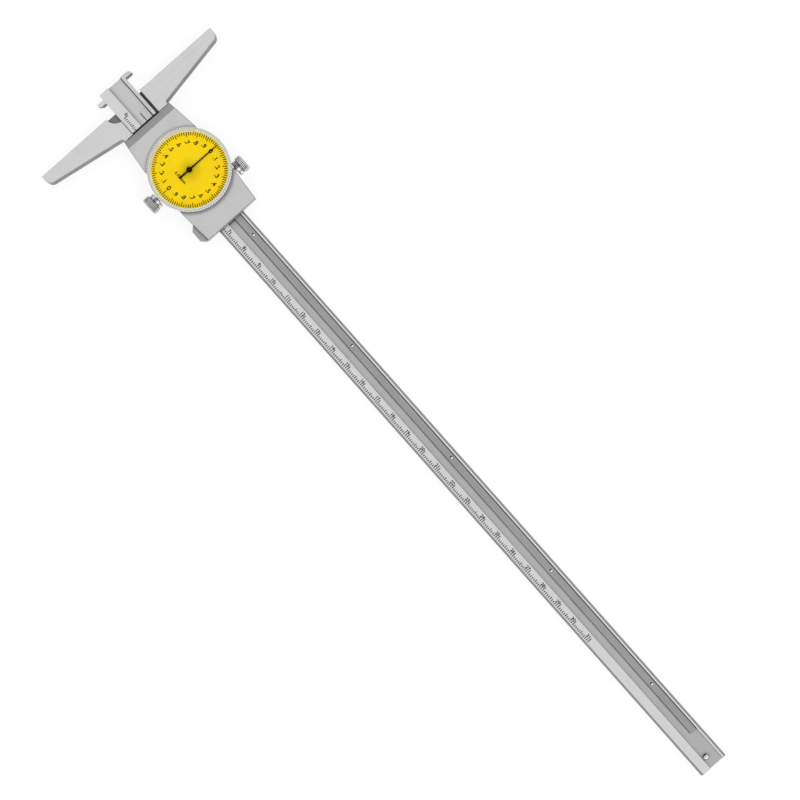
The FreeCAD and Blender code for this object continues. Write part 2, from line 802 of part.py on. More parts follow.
def movement_bridge():
    reach = bridge_span + pillar_radius + bridge_end_margin
    long_arm = block(dial_x - reach, dial_x + reach, dial_y - bridge_arm_half,
                     dial_y + bridge_arm_half, bridge_z, bridge_top_z)
    tall = wheel_offset_y + bush_radius + bridge_bush_margin
    middle_x = dial_x / 2
    cross_arm = block(middle_x - bridge_arm_half, middle_x + bridge_arm_half,
                      dial_y - tall, dial_y + tall, bridge_z, bridge_top_z)
    bridge = join([long_arm, cross_arm])
    for x, y in shaft_places():
        bridge = bridge.cut(post(x, y, bridge_z - past, bridge_top_z + past, bush_radius + pin_gap))
    hole_radius = plate_screw_radius + thread_gap
    for x, y in pillar_places():
        bridge = bridge.cut(post(x, y, bridge_z - past, bridge_top_z + past, hole_radius))
    return solid_of(bridge)


def shaft_bushes():
    """Six bearing bushes, three in the plate and three in the bridge."""
    bushes = []
    for low, high in ((wall_top_z, plate_top_z), (bridge_z, bridge_top_z)):
        for x, y in shaft_places():
            bush = post(x, y, low, high, bush_radius)
            bushes.append(bush.cut(post(x, y, low - past, high + past, journal_radius + running_gap)))
    return Part.makeCompound(bushes)


def pinion_arbor(y, phase):
    """Shaft with the small pinion that the rack turns."""
    low = channel_floor_z + pinion_floor_gap
    outline = gear_outline(pinion_teeth, rack_module, phase, 0.0, y)
    pinion = prism(outline, low, low + pinion_width)
    shaft = post(0.0, y, low, bridge_top_z, journal_radius)
    return solid_of(join([pinion, shaft]))


def wheel(y, phase):
    """Large wheel with five windows and its hub, bored for the arbor."""
    outline = gear_outline(wheel_teeth, train_module, phase, 0.0, y)
    window_ring = (wheel_hub_radius + train_module * wheel_teeth / 2) / 2
    holes = [(0.0, y, journal_radius)]
    for i in range(wheel_windows):
        angle = 2 * math.pi * (i + 0.5) / wheel_windows
        holes.append((window_ring * math.cos(angle), y + window_ring * math.sin(angle),
                      window_ring * window_share))
    rim = pierced(outline, holes, wheel_z, wheel_z + wheel_thickness)
    hub = post(0.0, y, plate_top_z + wheel_float / 2, wheel_z, wheel_hub_radius)
    hub = hub.cut(post(0.0, y, plate_top_z, wheel_z + past, journal_radius))
    return rim.fuse(hub)


def drive_mesh_angle():
    """Direction from the drive wheel to the centre pinion."""
    return math.atan2(wheel_offset_y, dial_x)


def centre_gap_angle():
    """A gap of the centre pinion, facing the drive wheel."""
    return drive_mesh_angle() + math.pi


def takeup_wheel_phase():
    facing = math.atan2(-wheel_offset_y, dial_x)
    pitch_angle = 2 * math.pi / centre_teeth
    offset = (centre_gap_angle() - facing - math.pi) % pitch_angle
    return facing - offset * centre_teeth / wheel_teeth


def takeup_pinion_phase():
    offset = (drive_y - takeup_y) % rack_pitch
    return offset / pinion_pitch_radius


def drive_pinion():
    return pinion_arbor(drive_y, 0.0)


def takeup_pinion():
    arbor = pinion_arbor(takeup_y, takeup_pinion_phase())
    collet = post(0.0, takeup_y, spring_z - spring_lift / 2, spring_z + spring_height,
                  spring_inner_radius - spring_strip)
    return solid_of(join([arbor, collet]))


def drive_wheel():
    return wheel(drive_y, drive_mesh_angle())


def takeup_wheel():
    """Wheel that the hairspring loads against the drive wheel's backlash."""
    top = spring_z + spring_height
    x = spring_outer_radius + spring_stud_radius + spring_strip
    stud = post(x, takeup_y, wheel_z, top, spring_stud_radius)
    spoke = block(0.0, x, takeup_y - spring_stud_radius, takeup_y + spring_stud_radius,
                  wheel_z, wheel_z + wheel_thickness)
    bore = post(0.0, takeup_y, wheel_z - past, top, journal_radius)
    stud_and_spoke = stud.fuse(spoke).cut(bore)
    return solid_of(wheel(takeup_y, takeup_wheel_phase()).fuse(stud_and_spoke))


def hairspring():
    """Flat spiral from the collet out to the stud."""
    steps = spring_turn_steps * spring_turns
    growth = (spring_outer_radius - spring_inner_radius) / steps
    inner = []
    outer = []
    for i in range(steps + 1):
        angle = 2 * math.pi * i * spring_turns / steps
        radius = spring_inner_radius + growth * i
        inner.append((radius - spring_strip / 2, angle))
        outer.append((radius + spring_strip / 2, angle))
    ends = inner + outer[::-1]
    outline = [(r * math.cos(a), takeup_y + r * math.sin(a)) for r, a in ends]
    return prism(outline, spring_z, spring_z + spring_height)


def centre_pinion():
    phase = centre_gap_angle() + math.pi / centre_teeth
    low = wheel_z - (centre_pinion_width - wheel_thickness) / 2
    outline = gear_outline(centre_teeth, train_module, phase, dial_x, dial_y)
    pinion = prism(outline, low, low + centre_pinion_width)
    shaft = post(dial_x, dial_y, wall_top_z + running_gap, bridge_top_z, journal_radius)
    tip_top = pointer_z + pointer_hub_height - pointer_hub_roof
    tip = post(dial_x, dial_y, bridge_top_z, tip_top, arbor_tip_radius)
    return solid_of(join([pinion, shaft, tip]))


# --------------------------------------------------------------- dial, bezel, pointer
def dial_plate():
    disc = post(dial_x, dial_y, dial_z, dial_face_z, dial_radius)
    return disc.cut(post(dial_x, dial_y, dial_z - past, dial_face_z + past, dial_hole_radius))


def crystal():
    """Clear cap whose rim holds the dial plate down."""
    under = crystal_top_z - crystal_thickness
    inner = dial_radius - crystal_rim
    profile = [(0, under), (inner, under), (inner, dial_face_z), (dial_radius, dial_face_z),
               (dial_radius, crystal_top_z - crystal_rim / 2),
               (bezel_opening_radius - seat_gap, crystal_top_z - crystal_rim / 2),
               (bezel_opening_radius - seat_gap, crystal_top_z - crystal_rim / 4),
               (inner, crystal_top_z), (0, crystal_top_z)]
    return turned(profile, dial_x, dial_y)


def bezel():
    skirt_inner = bezel_skirt_radius - bezel_skirt_wall
    skirt_low = bezel_low_z - bezel_skirt_depth
    seat = dial_radius + seat_gap
    grip_top = bezel_low_z + bezel_grip_height
    step_radius = bezel_radius - bezel_step
    shelf = crystal_top_z - crystal_rim / 2 + seat_gap
    low, high = snap_ring_levels()
    groove = snap_ring_span()[0] - skirt_gap
    groove_low = low - snap_ring_float
    groove_high = high + snap_ring_float
    profile = [(skirt_inner, skirt_low), (bezel_skirt_radius, skirt_low),
               (bezel_skirt_radius, groove_low), (groove, groove_low), (groove, groove_high),
               (bezel_skirt_radius, groove_high), (bezel_skirt_radius, bezel_low_z),
               (bezel_radius - bezel_edge, bezel_low_z), (bezel_radius, bezel_low_z + bezel_edge),
               (bezel_radius, grip_top - bezel_edge), (bezel_radius - bezel_edge, grip_top),
               (step_radius, grip_top), (step_radius, bezel_top_z - bezel_crown_drop),
               (step_radius - bezel_crown_width, bezel_top_z),
               (bezel_opening_radius + bezel_edge, bezel_top_z),
               (bezel_opening_radius, bezel_top_z - bezel_edge), (bezel_opening_radius, shelf),
               (seat, shelf), (seat, dial_z), (skirt_inner, dial_z)]
    return turned(profile, dial_x, dial_y)


def snap_ring():
    """Open ring that keeps the bezel's skirt in the drum."""
    low, high = snap_ring_levels()
    inner, outer = snap_ring_span()
    hollow = post(dial_x, dial_y, low - past, high + past, inner)
    ring = post(dial_x, dial_y, low, high, outer).cut(hollow)
    half = math.radians(snap_ring_gap_deg / 2)
    far = bezel_radius * 2
    gap = [(dial_x, dial_y), (dial_x - far * math.cos(half), dial_y + far * math.sin(half)),
           (dial_x - far * math.cos(half), dial_y - far * math.sin(half))]
    return solid_of(ring.cut(prism(gap, low - past, high + past)))


def pointer():
    top = pointer_z + pointer_thickness
    tip_half = pointer_tip_width / 2
    half = pointer_width / 2
    foot = dial_x - pointer_tail
    needle = [(foot, dial_y - pointer_foot_half), (foot + pointer_width, dial_y - pointer_foot_half),
              (foot + pointer_width, dial_y - half), (dial_x + pointer_hub_radius, dial_y - half),
              (dial_x + pointer_length, dial_y - tip_half),
              (dial_x + pointer_length, dial_y + tip_half),
              (dial_x + pointer_hub_radius, dial_y + half), (foot + pointer_width, dial_y + half),
              (foot + pointer_width, dial_y + pointer_foot_half), (foot, dial_y + pointer_foot_half)]
    blade = prism(needle, pointer_z, top)
    hub_low = pointer_z - pointer_lift / 2
    hub_top = pointer_z + pointer_hub_height
    hub = turned([(0, hub_low), (pointer_hub_face_radius, hub_low),
                  (pointer_hub_radius, pointer_z), (pointer_hub_radius, pointer_z + pointer_hub_wall),
                  (pointer_hub_face_radius, hub_top), (0, hub_top)], dial_x, dial_y)
    whole = join([blade, hub])
    bore = post(dial_x, dial_y, hub_low - past, hub_top - pointer_hub_roof, arbor_tip_radius)
    return solid_of(whole.cut(bore))


# ------------------------------------------------------------------------------ build
def main():
    os.makedirs("parts", exist_ok=True)
    pieces = [beam, rack, rack_pins, end_stop_screw, base_frame, cover_screws, gib_strip,
              gib_set_screws, lock_screw, front_cover, bezel_clamp_screw, bezel_clamp_plug,
              snap_ring, movement_plate, movement_plate_screws, bridge_pillars, bridge_screws,
              movement_bridge, shaft_bushes, drive_pinion, drive_wheel, takeup_pinion,
              takeup_wheel, hairspring, centre_pinion, pointer, dial_plate, crystal, bezel]
    for piece in pieces:
        shape = piece()
        save(piece.__name__, shape)
        box = shape.BoundBox
        print(piece.__name__, len(shape.Solids), round(shape.Volume, 3), shape.isValid(),
              [round(v, 2) for v in (box.XMin, box.XMax, box.YMin, box.YMax, box.ZMin, box.ZMax)])


main()
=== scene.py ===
# %% [markdown]
# # Dressing a dial depth gauge
# The gauge's solid parts arrive from a CAD model at their real size and in their real
# places: a long beam with a rack in it, a measuring base with two arms, a round dial and
# two knurled screws.  This lesson gives them what a solid model lacks: ground and plated
# metal, printed scales, knurling and light.  Lengths are in metres, as Blender counts them.

# %% Load the solid parts
import json
import math
import bmesh
import bpy
from mathutils import Matrix, Vector


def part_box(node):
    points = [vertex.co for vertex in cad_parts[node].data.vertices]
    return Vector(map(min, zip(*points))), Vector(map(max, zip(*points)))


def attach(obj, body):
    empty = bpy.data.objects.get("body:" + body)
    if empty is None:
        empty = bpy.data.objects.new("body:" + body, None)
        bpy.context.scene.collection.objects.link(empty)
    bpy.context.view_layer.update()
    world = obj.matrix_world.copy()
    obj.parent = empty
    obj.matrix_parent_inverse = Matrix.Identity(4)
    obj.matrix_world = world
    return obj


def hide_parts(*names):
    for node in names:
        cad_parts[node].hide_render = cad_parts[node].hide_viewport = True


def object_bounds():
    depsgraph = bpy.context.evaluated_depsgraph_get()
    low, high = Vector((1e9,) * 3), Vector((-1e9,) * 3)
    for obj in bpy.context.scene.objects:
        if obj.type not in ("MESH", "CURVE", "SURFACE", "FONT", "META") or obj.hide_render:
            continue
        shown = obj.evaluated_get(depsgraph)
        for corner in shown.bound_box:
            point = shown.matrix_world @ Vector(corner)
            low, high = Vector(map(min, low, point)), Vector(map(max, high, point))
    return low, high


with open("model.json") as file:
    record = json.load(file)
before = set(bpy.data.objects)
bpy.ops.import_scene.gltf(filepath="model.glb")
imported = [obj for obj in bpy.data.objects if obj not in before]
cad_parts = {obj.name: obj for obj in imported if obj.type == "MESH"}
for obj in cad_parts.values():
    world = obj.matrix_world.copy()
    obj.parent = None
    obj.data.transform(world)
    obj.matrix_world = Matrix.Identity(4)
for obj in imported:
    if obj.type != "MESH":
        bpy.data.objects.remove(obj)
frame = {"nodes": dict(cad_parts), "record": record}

cad_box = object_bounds()
nodes = frame["nodes"]

# %% [markdown]
# ## Places to build on
# A scale belongs on the beam's front face and a ring belongs round the dial, so their
# places are read from the boxes of the solid parts and never typed in twice.  If the CAD
# model changes, the looks follow.

# %% Read the places that the looks hang on
MM = 0.001
beam_low, beam_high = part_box("beam")
dial_low, dial_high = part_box("dial_plate")
bezel_low, bezel_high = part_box("bezel")
crystal_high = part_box("crystal")[1]
reading_lip = 0.45 * MM             # the cover's tongue in front of the edge that one reads
reading_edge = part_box("front_cover")[1].y - reading_lip
beam_front = beam_high.z
dial_centre = (dial_low + dial_high) / 2
dial_face = dial_high.z
bezel_radius = (bezel_high.x - bezel_low.x) / 2
bench_top = cad_box[0].z
print("dial centre, mm:", [round(v / MM, 2) for v in dial_centre])
print("bezel radius, mm:", round(bezel_radius / MM, 2))

# %% [markdown]
# ## Colours as a painter names them
# A shade is easiest to judge as a level from 0 to 255, but shaders add and multiply light,
# which needs linear numbers.  This helper turns one into the other.

# %% Turn paper levels into linear colour
LEVELS = 255                # the lightest level, which is white
TOE = 0.04045
TOE_SLOPE = 12.92
CURVE_OFFSET = 0.055
CURVE_POWER = 2.4


def tone(*levels):
    """Linear colour of one grey level, or of a red, a green and a blue level."""
    levels = levels * 3 if len(levels) == 1 else levels
    linear = []
    for level in levels:
        share = level / LEVELS
        bent = ((share + CURVE_OFFSET) / (1 + CURVE_OFFSET)) ** CURVE_POWER
        linear.append(share / TOE_SLOPE if share <= TOE else bent)
    return (*linear, 1.0)


print("a level of 200 is", round(tone(200)[0], 3), "in linear light")

# %% [markdown]
# ## A short hand for wiring nodes
# Every finish below is a tree of nodes.  Written out in full, each link takes a line and
# the idea drowns, so a small helper adds a node and plugs in numbers or other sockets.

# %% A helper that wires nodes
COLOUR_A, COLOUR_B, COLOUR_OUT = 6, 7, 2     # the Mix node's sockets for colour


class Wiring:
    """One node tree, and short ways to add to it.  A value is a number or a socket."""

    def __init__(self, tree):
        self.tree = tree

    def add(self, kind, **settings):
        node = self.tree.nodes.new(kind)
        for key, value in settings.items():
            setattr(node, key, value)
        return node

    def feed(self, socket, value):
        if isinstance(value, bpy.types.NodeSocket):
            self.tree.links.new(value, socket)
        else:
            socket.default_value = value

    def call(self, kind, inputs, out=0, **settings):
        """Adds a node, feeds its inputs by name or number and returns one output."""
        node = self.add(kind, **settings)
        for key, value in inputs.items():
            self.feed(node.inputs[key], value)
        return node.outputs[out]

    def math(self, operation, first, second=0.0):
        return self.call("ShaderNodeMath", {0: first, 1: second}, operation=operation)

    def times(self, first, second):
        return self.math("MULTIPLY", first, second)

    def vector(self, operation, first, second=(0.0, 0.0, 0.0), out=0):
        return self.call("ShaderNodeVectorMath", {0: first, 1: second}, out, operation=operation)

    def length(self, vector):
        return self.vector("LENGTH", vector, out=1)

    def noise(self, position, scale, detail=3.0):
        return self.call("ShaderNodeTexNoise", {"Vector": position, "Scale": scale, "Detail": detail})

    def ramp(self, value, start, end, low=0.0, high=1.0):
        """Takes a value smoothly from low at start to high at end."""
        inputs = {"Value": value, "From Min": start, "From Max": end, "To Min": low, "To Max": high}
        return self.call("ShaderNodeMapRange", inputs, interpolation_type="SMOOTHSTEP")

    def blend(self, factor, first, second, kind="MIX"):
        inputs = {0: factor, COLOUR_A: first, COLOUR_B: second}
        return self.call("ShaderNodeMix", inputs, COLOUR_OUT, data_type="RGBA", blend_type=kind)

    def along(self, position, axis):
        """One coordinate of a position."""
        return self.call("ShaderNodeSeparateXYZ", {0: position}, "XYZ".index(axis))

    def facing(self, axis):
        """From -1 to 1, how far the surface faces along an axis."""
        return self.along(self.add("ShaderNodeNewGeometry").outputs["Normal"], axis)

    def point(self, x=0.0, y=0.0, z=0.0):
        return self.call("ShaderNodeCombineXYZ", {0: x, 1: y, 2: z})

    def grey(self, level):
        """A grey colour from one value."""
        return self.call("ShaderNodeCombineColor", {0: level, 1: level, 2: level})


def open_tree(name, kind, inputs, outputs):
    """A node group with named sockets.  Returns it, its wiring, its inputs and outputs."""
    tree = bpy.data.node_groups.new(name, kind)
    for label, socket, value in inputs:
        made = tree.interface.new_socket(label, in_out="INPUT", socket_type=socket)
        if value is not None:
            made.default_value = value
    for label, socket in outputs:
        tree.interface.new_socket(label, in_out="OUTPUT", socket_type=socket)
    wiring = Wiring(tree)
    return tree, wiring, wiring.add("NodeGroupInput").outputs, wiring.add("NodeGroupOutput").inputs


FLOAT, VECTOR, WHOLE = "NodeSocketFloat", "NodeSocketVector", "NodeSocketInt"
print("wiring helper ready")

# %% [markdown]
# ## Shared effects
# Four things happen to the metal of a hand tool.  Grinding leaves fine parallel lines.
# Turning leaves fine rings.  Corners are a little rounded and rubbed bright.  Hands leave
# soft smudges.  A fifth effect is painted shade: corners and narrow gaps are darkened where
# shade falls.  Each is a shader group, built once and placed in many materials with other
# values, so that a change to, say, the grinding shows everywhere at once.  Picture textures
# could carry such marks too, but they need unwrapped surfaces and blur when one comes close,
# while noise worked out from the position doesn't.

# %% Grinding lines as a shader group
COARSE_LINES = 0.12         # the coarse lines' scale, next to the fine ones
FINE_SHARE = 0.6            # how much of the shade comes from the fine lines


def build_lay_lines():
    """Parallel grinding lines.  Frequency is in lines per metre along X, Y and Z."""
    inputs = [("Position", VECTOR, None), ("Frequency", VECTOR, (1.0, 1.0, 1.0))]
    outputs = [("Shade", FLOAT), ("Height", FLOAT)]
    tree, w, given, result = open_tree("grinding lines", "ShaderNodeTree", inputs, outputs)
    stretched = w.vector("MULTIPLY", given["Position"], given["Frequency"])
    fine = w.noise(stretched, 1.0)
    coarse = w.noise(stretched, COARSE_LINES)
    both = w.math("ADD", w.times(fine, FINE_SHARE), w.times(coarse, 1.0 - FINE_SHARE))
    w.feed(result["Shade"], both)
    w.feed(result["Height"], fine)
    return tree


lay_lines = build_lay_lines()
print("group made:", lay_lines.name)

# %% Turning rings as a shader group
def build_turned_rings():
    """Rings round an axis along Z or X through Centre, as a lathe leaves them."""
    inputs = [("Position", VECTOR, None), ("Centre", VECTOR, (0.0, 0.0, 0.0)),
              ("Keep", VECTOR, (1.0, 1.0, 0.0)), ("Rings", FLOAT, 4000.0)]
    outputs = [("Shade", FLOAT), ("Radius", FLOAT)]
    tree, w, given, result = open_tree("turning rings", "ShaderNodeTree", inputs, outputs)
    offset = w.vector("SUBTRACT", given["Position"], given["Centre"])
    flat = w.vector("MULTIPLY", offset, given["Keep"])
    radius = w.length(flat)
    across = w.times(radius, given["Rings"])
    w.feed(result["Shade"], w.noise(w.point(across), 1.0))
    w.feed(result["Radius"], radius)
    return tree


turned_rings = build_turned_rings()
print("group made:", turned_rings.name)

# %% Rounded, rubbed edges as a shader group
WEAR_PATCHES = 350.0        # scale of the patches in which an edge is rubbed


def build_edge_wear():
    """Where corners are rubbed bright, and a normal that rounds them."""
    inputs = [("Position", VECTOR, None), ("Radius", FLOAT, 0.0001), ("Gain", FLOAT, 4.0)]
    outputs = [("Mask", FLOAT), ("Normal", VECTOR)]
    tree, w, given, result = open_tree("edge wear", "ShaderNodeTree", inputs, outputs)
    rounded = w.call("ShaderNodeBevel", {"Radius": given["Radius"]}, samples=4)
    flat = w.add("ShaderNodeNewGeometry").outputs["True Normal"]
    agreement = w.vector("DOT_PRODUCT", rounded, flat, 1)
    corner = w.times(w.math("SUBTRACT", 1.0, agreement), given["Gain"])
    patches = w.ramp(w.noise(given["Position"], WEAR_PATCHES), 0.3, 0.7, 0.35, 1.0)
    w.feed(result["Mask"], w.math("MINIMUM", w.times(corner, patches), 1.0))
    w.feed(result["Normal"], rounded)
    return tree


edge_wear = build_edge_wear()
print("group made:", edge_wear.name)

# %% Smudges from handling as a shader group
SMUDGE_CLOUDS = 90.0
SPECK_GRIT = 2600.0


def build_handling():
    """Soft cloudy smudges and sparse fine specks, both from 0 to 1."""
    inputs = [("Position", VECTOR, None)]
    outputs = [("Smudge", FLOAT), ("Speck", FLOAT)]
    tree, w, given, result = open_tree("handling", "ShaderNodeTree", inputs, outputs)
    cloud = w.noise(given["Position"], SMUDGE_CLOUDS, 4.0)
    w.feed(result["Smudge"], w.ramp(cloud, 0.35, 0.75))
    grit = w.noise(given["Position"], SPECK_GRIT, 1.0)
    w.feed(result["Speck"], w.ramp(grit, 0.72, 0.8))
    return tree


handling = build_handling()
print("group made:", handling.name)

# %% Painted shade in corners as a shader group
OPEN_ENOUGH = 0.85          # as open as this, a place gets no painted shade
SHUT_IN = 0.35              # as shut in as this, it gets the full painted shade


def build_corner_grime():
    """How much painted shade: 0 in the open, 1 deep in a corner or a narrow gap."""
    inputs = [("Reach", FLOAT, 0.0005)]
    outputs = [("Mask", FLOAT)]
    tree, w, given, result = open_tree("painted corner shade", "ShaderNodeTree", inputs, outputs)
    openness = w.call("ShaderNodeAmbientOcclusion", {"Distance": given["Reach"]}, "AO", samples=6)
    w.feed(result["Mask"], w.ramp(openness, OPEN_ENOUGH, SHUT_IN))
    return tree


corner_shade_tree = build_corner_grime()
print("group made:", corner_shade_tree.name)

# %% [markdown]
# ## Metal that remembers how it was made
# One recipe serves the ground steels and the plated cover.  The face tone is what the
# finish shows when it looks at the light.  Faces on the side are painted darker, a painted
# shade for the light they catch less.  Everything below a given level, such as the floor of
# a channel, is darker too, and in the base's deep recess that is painted shade.  Each metal
# could be wired by hand, but then a change to how the painted shade gathers in corners would
# have to be made in every one.  The Principled shader stays in the material, and the groups
# only hand it colours, roughness and normals.

# %% Start a material and place shared effects in it
def start_material(name):
    """A fresh material with its Principled shader and object position."""
    material = bpy.data.materials.new(name)
    material.use_nodes = True
    w = Wiring(material.node_tree)
    shader = material.node_tree.nodes["Principled BSDF"]
    position = w.add("ShaderNodeTexCoord").outputs["Object"]
    return material, w, shader, position


def place_group(w, tree, **inputs):
    """Places a shared effect in a material and returns its outputs."""
    node = w.add("ShaderNodeGroup", node_tree=tree)
    for label, value in inputs.items():
        w.feed(node.inputs[label], value)
    return node.outputs


print("materials can be started")

# %% What every metal gets at the end
RUBBED = tone(246)
DUST = tone(110)
DUST_SHARE = 0.25
# the colour of the painted shade in corners and narrow gaps
CORNER_SHADE_TONE = tone(26)
CORNER_RADIUS = 0.12 * MM
CORNER_REACH = 0.5 * MM             # how far from a corner its painted shade reaches


def finish_metal(w, shader, position, colour, height, roughness, spread, wear, bump,
                 radius=CORNER_RADIUS, reach=CORNER_REACH, corner_shade=0.7):
    """Adds rubbed edges, painted shade in corners, smudges and bump to a metal whose colour is already
    wired.
    """
    edges = place_group(w, edge_wear, Position=position, Radius=radius)
    touched = place_group(w, handling, Position=position)
    corner = place_group(w, corner_shade_tree, Reach=reach)
    bright = w.blend(w.times(edges["Mask"], wear), colour, RUBBED)
    dusty = w.blend(w.times(touched["Speck"], DUST_SHARE), bright, DUST)
    corner_shaded = w.blend(w.times(corner["Mask"], corner_shade), dusty, CORNER_SHADE_TONE)
    w.feed(shader.inputs["Base Color"], corner_shaded)
    rough = w.ramp(touched["Smudge"], 0.0, 1.0, roughness - spread, roughness + spread)
    w.feed(shader.inputs["Roughness"], rough)
    relief = {"Height": height, "Strength": 0.6, "Distance": bump, "Normal": edges["Normal"]}
    w.feed(shader.inputs["Normal"], w.call("ShaderNodeBump", relief))


print("every metal's rubbed edges round by", CORNER_RADIUS / MM, "mm")

# %% Recipe for ground and plated metal
STEP_FADE = 0.2 * MM                # height over which one level's colour turns into the next
LEVEL_FACE = 0.7                    # a face that turns up or down more than this is level
UPRIGHT_FACE = 0.2                  # and one that does less than this is a side


def ground_metal(name, face, lay, steps=(), side=None, paint=None, roughness=0.36, spread=0.05,
                 grain=0.05, wear=0.5, bump=0.004 * MM, reach=CORNER_REACH, corner_shade=0.7):
    """Metal with grinding lines.  lay gives lines per metre along X, Y and Z.

    steps are pairs of a level and the colour of what lies below it, highest first.
    paint may add what only this part has: it takes the wiring, position and colour.
    """
    material, w, shader, position = start_material(name)
    shader.inputs["Metallic"].default_value = 1.0
    lines = place_group(w, lay_lines, Position=position, Frequency=lay)
    colour = face
    for level, sunk in steps:
        colour = w.blend(w.ramp(w.along(position, "Z"), level + STEP_FADE, level), colour, sunk)
    # upright faces take the side colour, a painted shade
    if side is not None:
        upright = w.ramp(w.math("ABSOLUTE", w.facing("Z")), LEVEL_FACE, UPRIGHT_FACE)
        colour = w.blend(upright, colour, side)
    if paint is not None:
        colour = paint(w, position, colour)
    shade = w.ramp(lines["Shade"], 0.25, 0.75, 1.0 - grain, 1.0 + grain)
    colour = w.blend(1.0, colour, w.grey(shade), "MULTIPLY")
    finish_metal(w, shader, position, colour, lines["Height"], roughness, spread, wear, bump,
                 reach=reach, corner_shade=corner_shade)
    return material


print("recipe ready: ground metal")

# %% Helpers that bound a painted mark
SOFT = 0.1 * MM                     # the way over which a painted mark fades out
CRISP = SOFT / 2


def beyond(w, value, edge, fade=SOFT):
    """0 before an edge and 1 beyond it.  A negative fade turns it round."""
    return w.ramp(value, edge, edge + fade)


def strip_mask(w, position, axis, start, end, fade=SOFT):
    """1 between two values of one coordinate, fading out over a short way on both sides."""
    value = w.along(position, axis)
    return w.times(beyond(w, value, start - fade, fade), beyond(w, value, end + fade, -fade))


print("marks fade over", SOFT / MM, "mm")

# %% [markdown]
# ## The steels of the beam and base
# The beam is ground along its length, so its lines are fine across X and long along Y.
# Its channel is greyer than the rails.  The rack is a darker strip, and
# the arms of the base are ground across, along X.
#
# What only one part has, such as the painted shade in the gap beside the rack, is painted
# by position, and much of it is painted light and shade.  It could be a thin extra piece of
# mesh, but a mask on a coordinate follows the part's own size and adds no faces.

# %% Places on the beam and rack
FINE = 7000.0
LONG = 70.0
rack_low, rack_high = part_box("rack")
cover_low, cover_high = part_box("front_cover")
channel_level = (rack_low.z + beam_front) / 2
end_light_from = cover_low.y               # behind the cover the beam stays greyer, and towards the measuring end it is painted lighter
end_light_to = cover_high.y - 5 * MM
beam_half = 7.0 * MM
bevel_width = 1.1 * MM
bevel_depth = 0.75 * MM
bevel_fade = 0.15 * MM
channel_left = -1.86 * MM
floor_shade = 1.9 * MM              # the floor's painted shade beside its left wall
wall_from = rack_high.x - 0.2 * MM  # the painted shade along the channel's right wall, beside the rack
wall_to = rack_high.x + 0.12 * MM
teeth_half = 0.28 * MM              # half the width of the painted shade along the teeth
back_width = 0.38 * MM              # and how far the one along the rack's back reaches in
# the width of the painted shade along the top edge of each hook's back
hook_edge = 0.26 * MM
right_hook_back = beam_high.y - 2.2 * MM
left_hook_back = beam_high.y - 4.9 * MM
hooks_from = left_hook_back - 1.0 * MM
hooks_fade = 0.5 * MM
print("channel level, mm:", round(channel_level / MM, 2))

# %% Tones of the beam and rack
BEAM_FACE = tone(211)
BEAM_CHANNEL = tone(177)
# the beam's upright faces take a painted shade
BEAM_SIDE_SHADE = tone(150)
# painted shade on the bevels of the long part
BEVEL_SHADE = tone(178)
RAIL = tone(222)
RAIL_AT_HEAD = tone(201)
# painted shade beside the left wall and painted light on the floor, at the measuring end
FLOOR_SHADED = tone(170)
FLOOR_LIT = tone(196)
# painted light on the channel's left wall, and painted shade along its right wall
LEFT_WALL_LIGHT = tone(196)
RIGHT_WALL_SHADE = tone(40)
# painted shade on the hooks' backs and along their top edges
HOOK_EDGE_SHADE = tone(60)
HOOK_BACK_SHADE = tone(52)
RACK_FACE = tone(158)
# painted shade on the rack's upright faces and along its edges, painted light at its measuring end
RACK_SIDE_SHADE = tone(60)
RACK_EDGE_SHADE = tone(66)
RACK_LIT_END = tone(197)
print("beam face, linear:", round(BEAM_FACE[0], 3))

# %% Steel of the beam
def near_end(w, position):
    """0 on the long part of the beam and 1 at its measuring end, where floor and rack are painted lighter.
    """
    return w.ramp(w.along(position, "Y"), end_light_from, end_light_to)


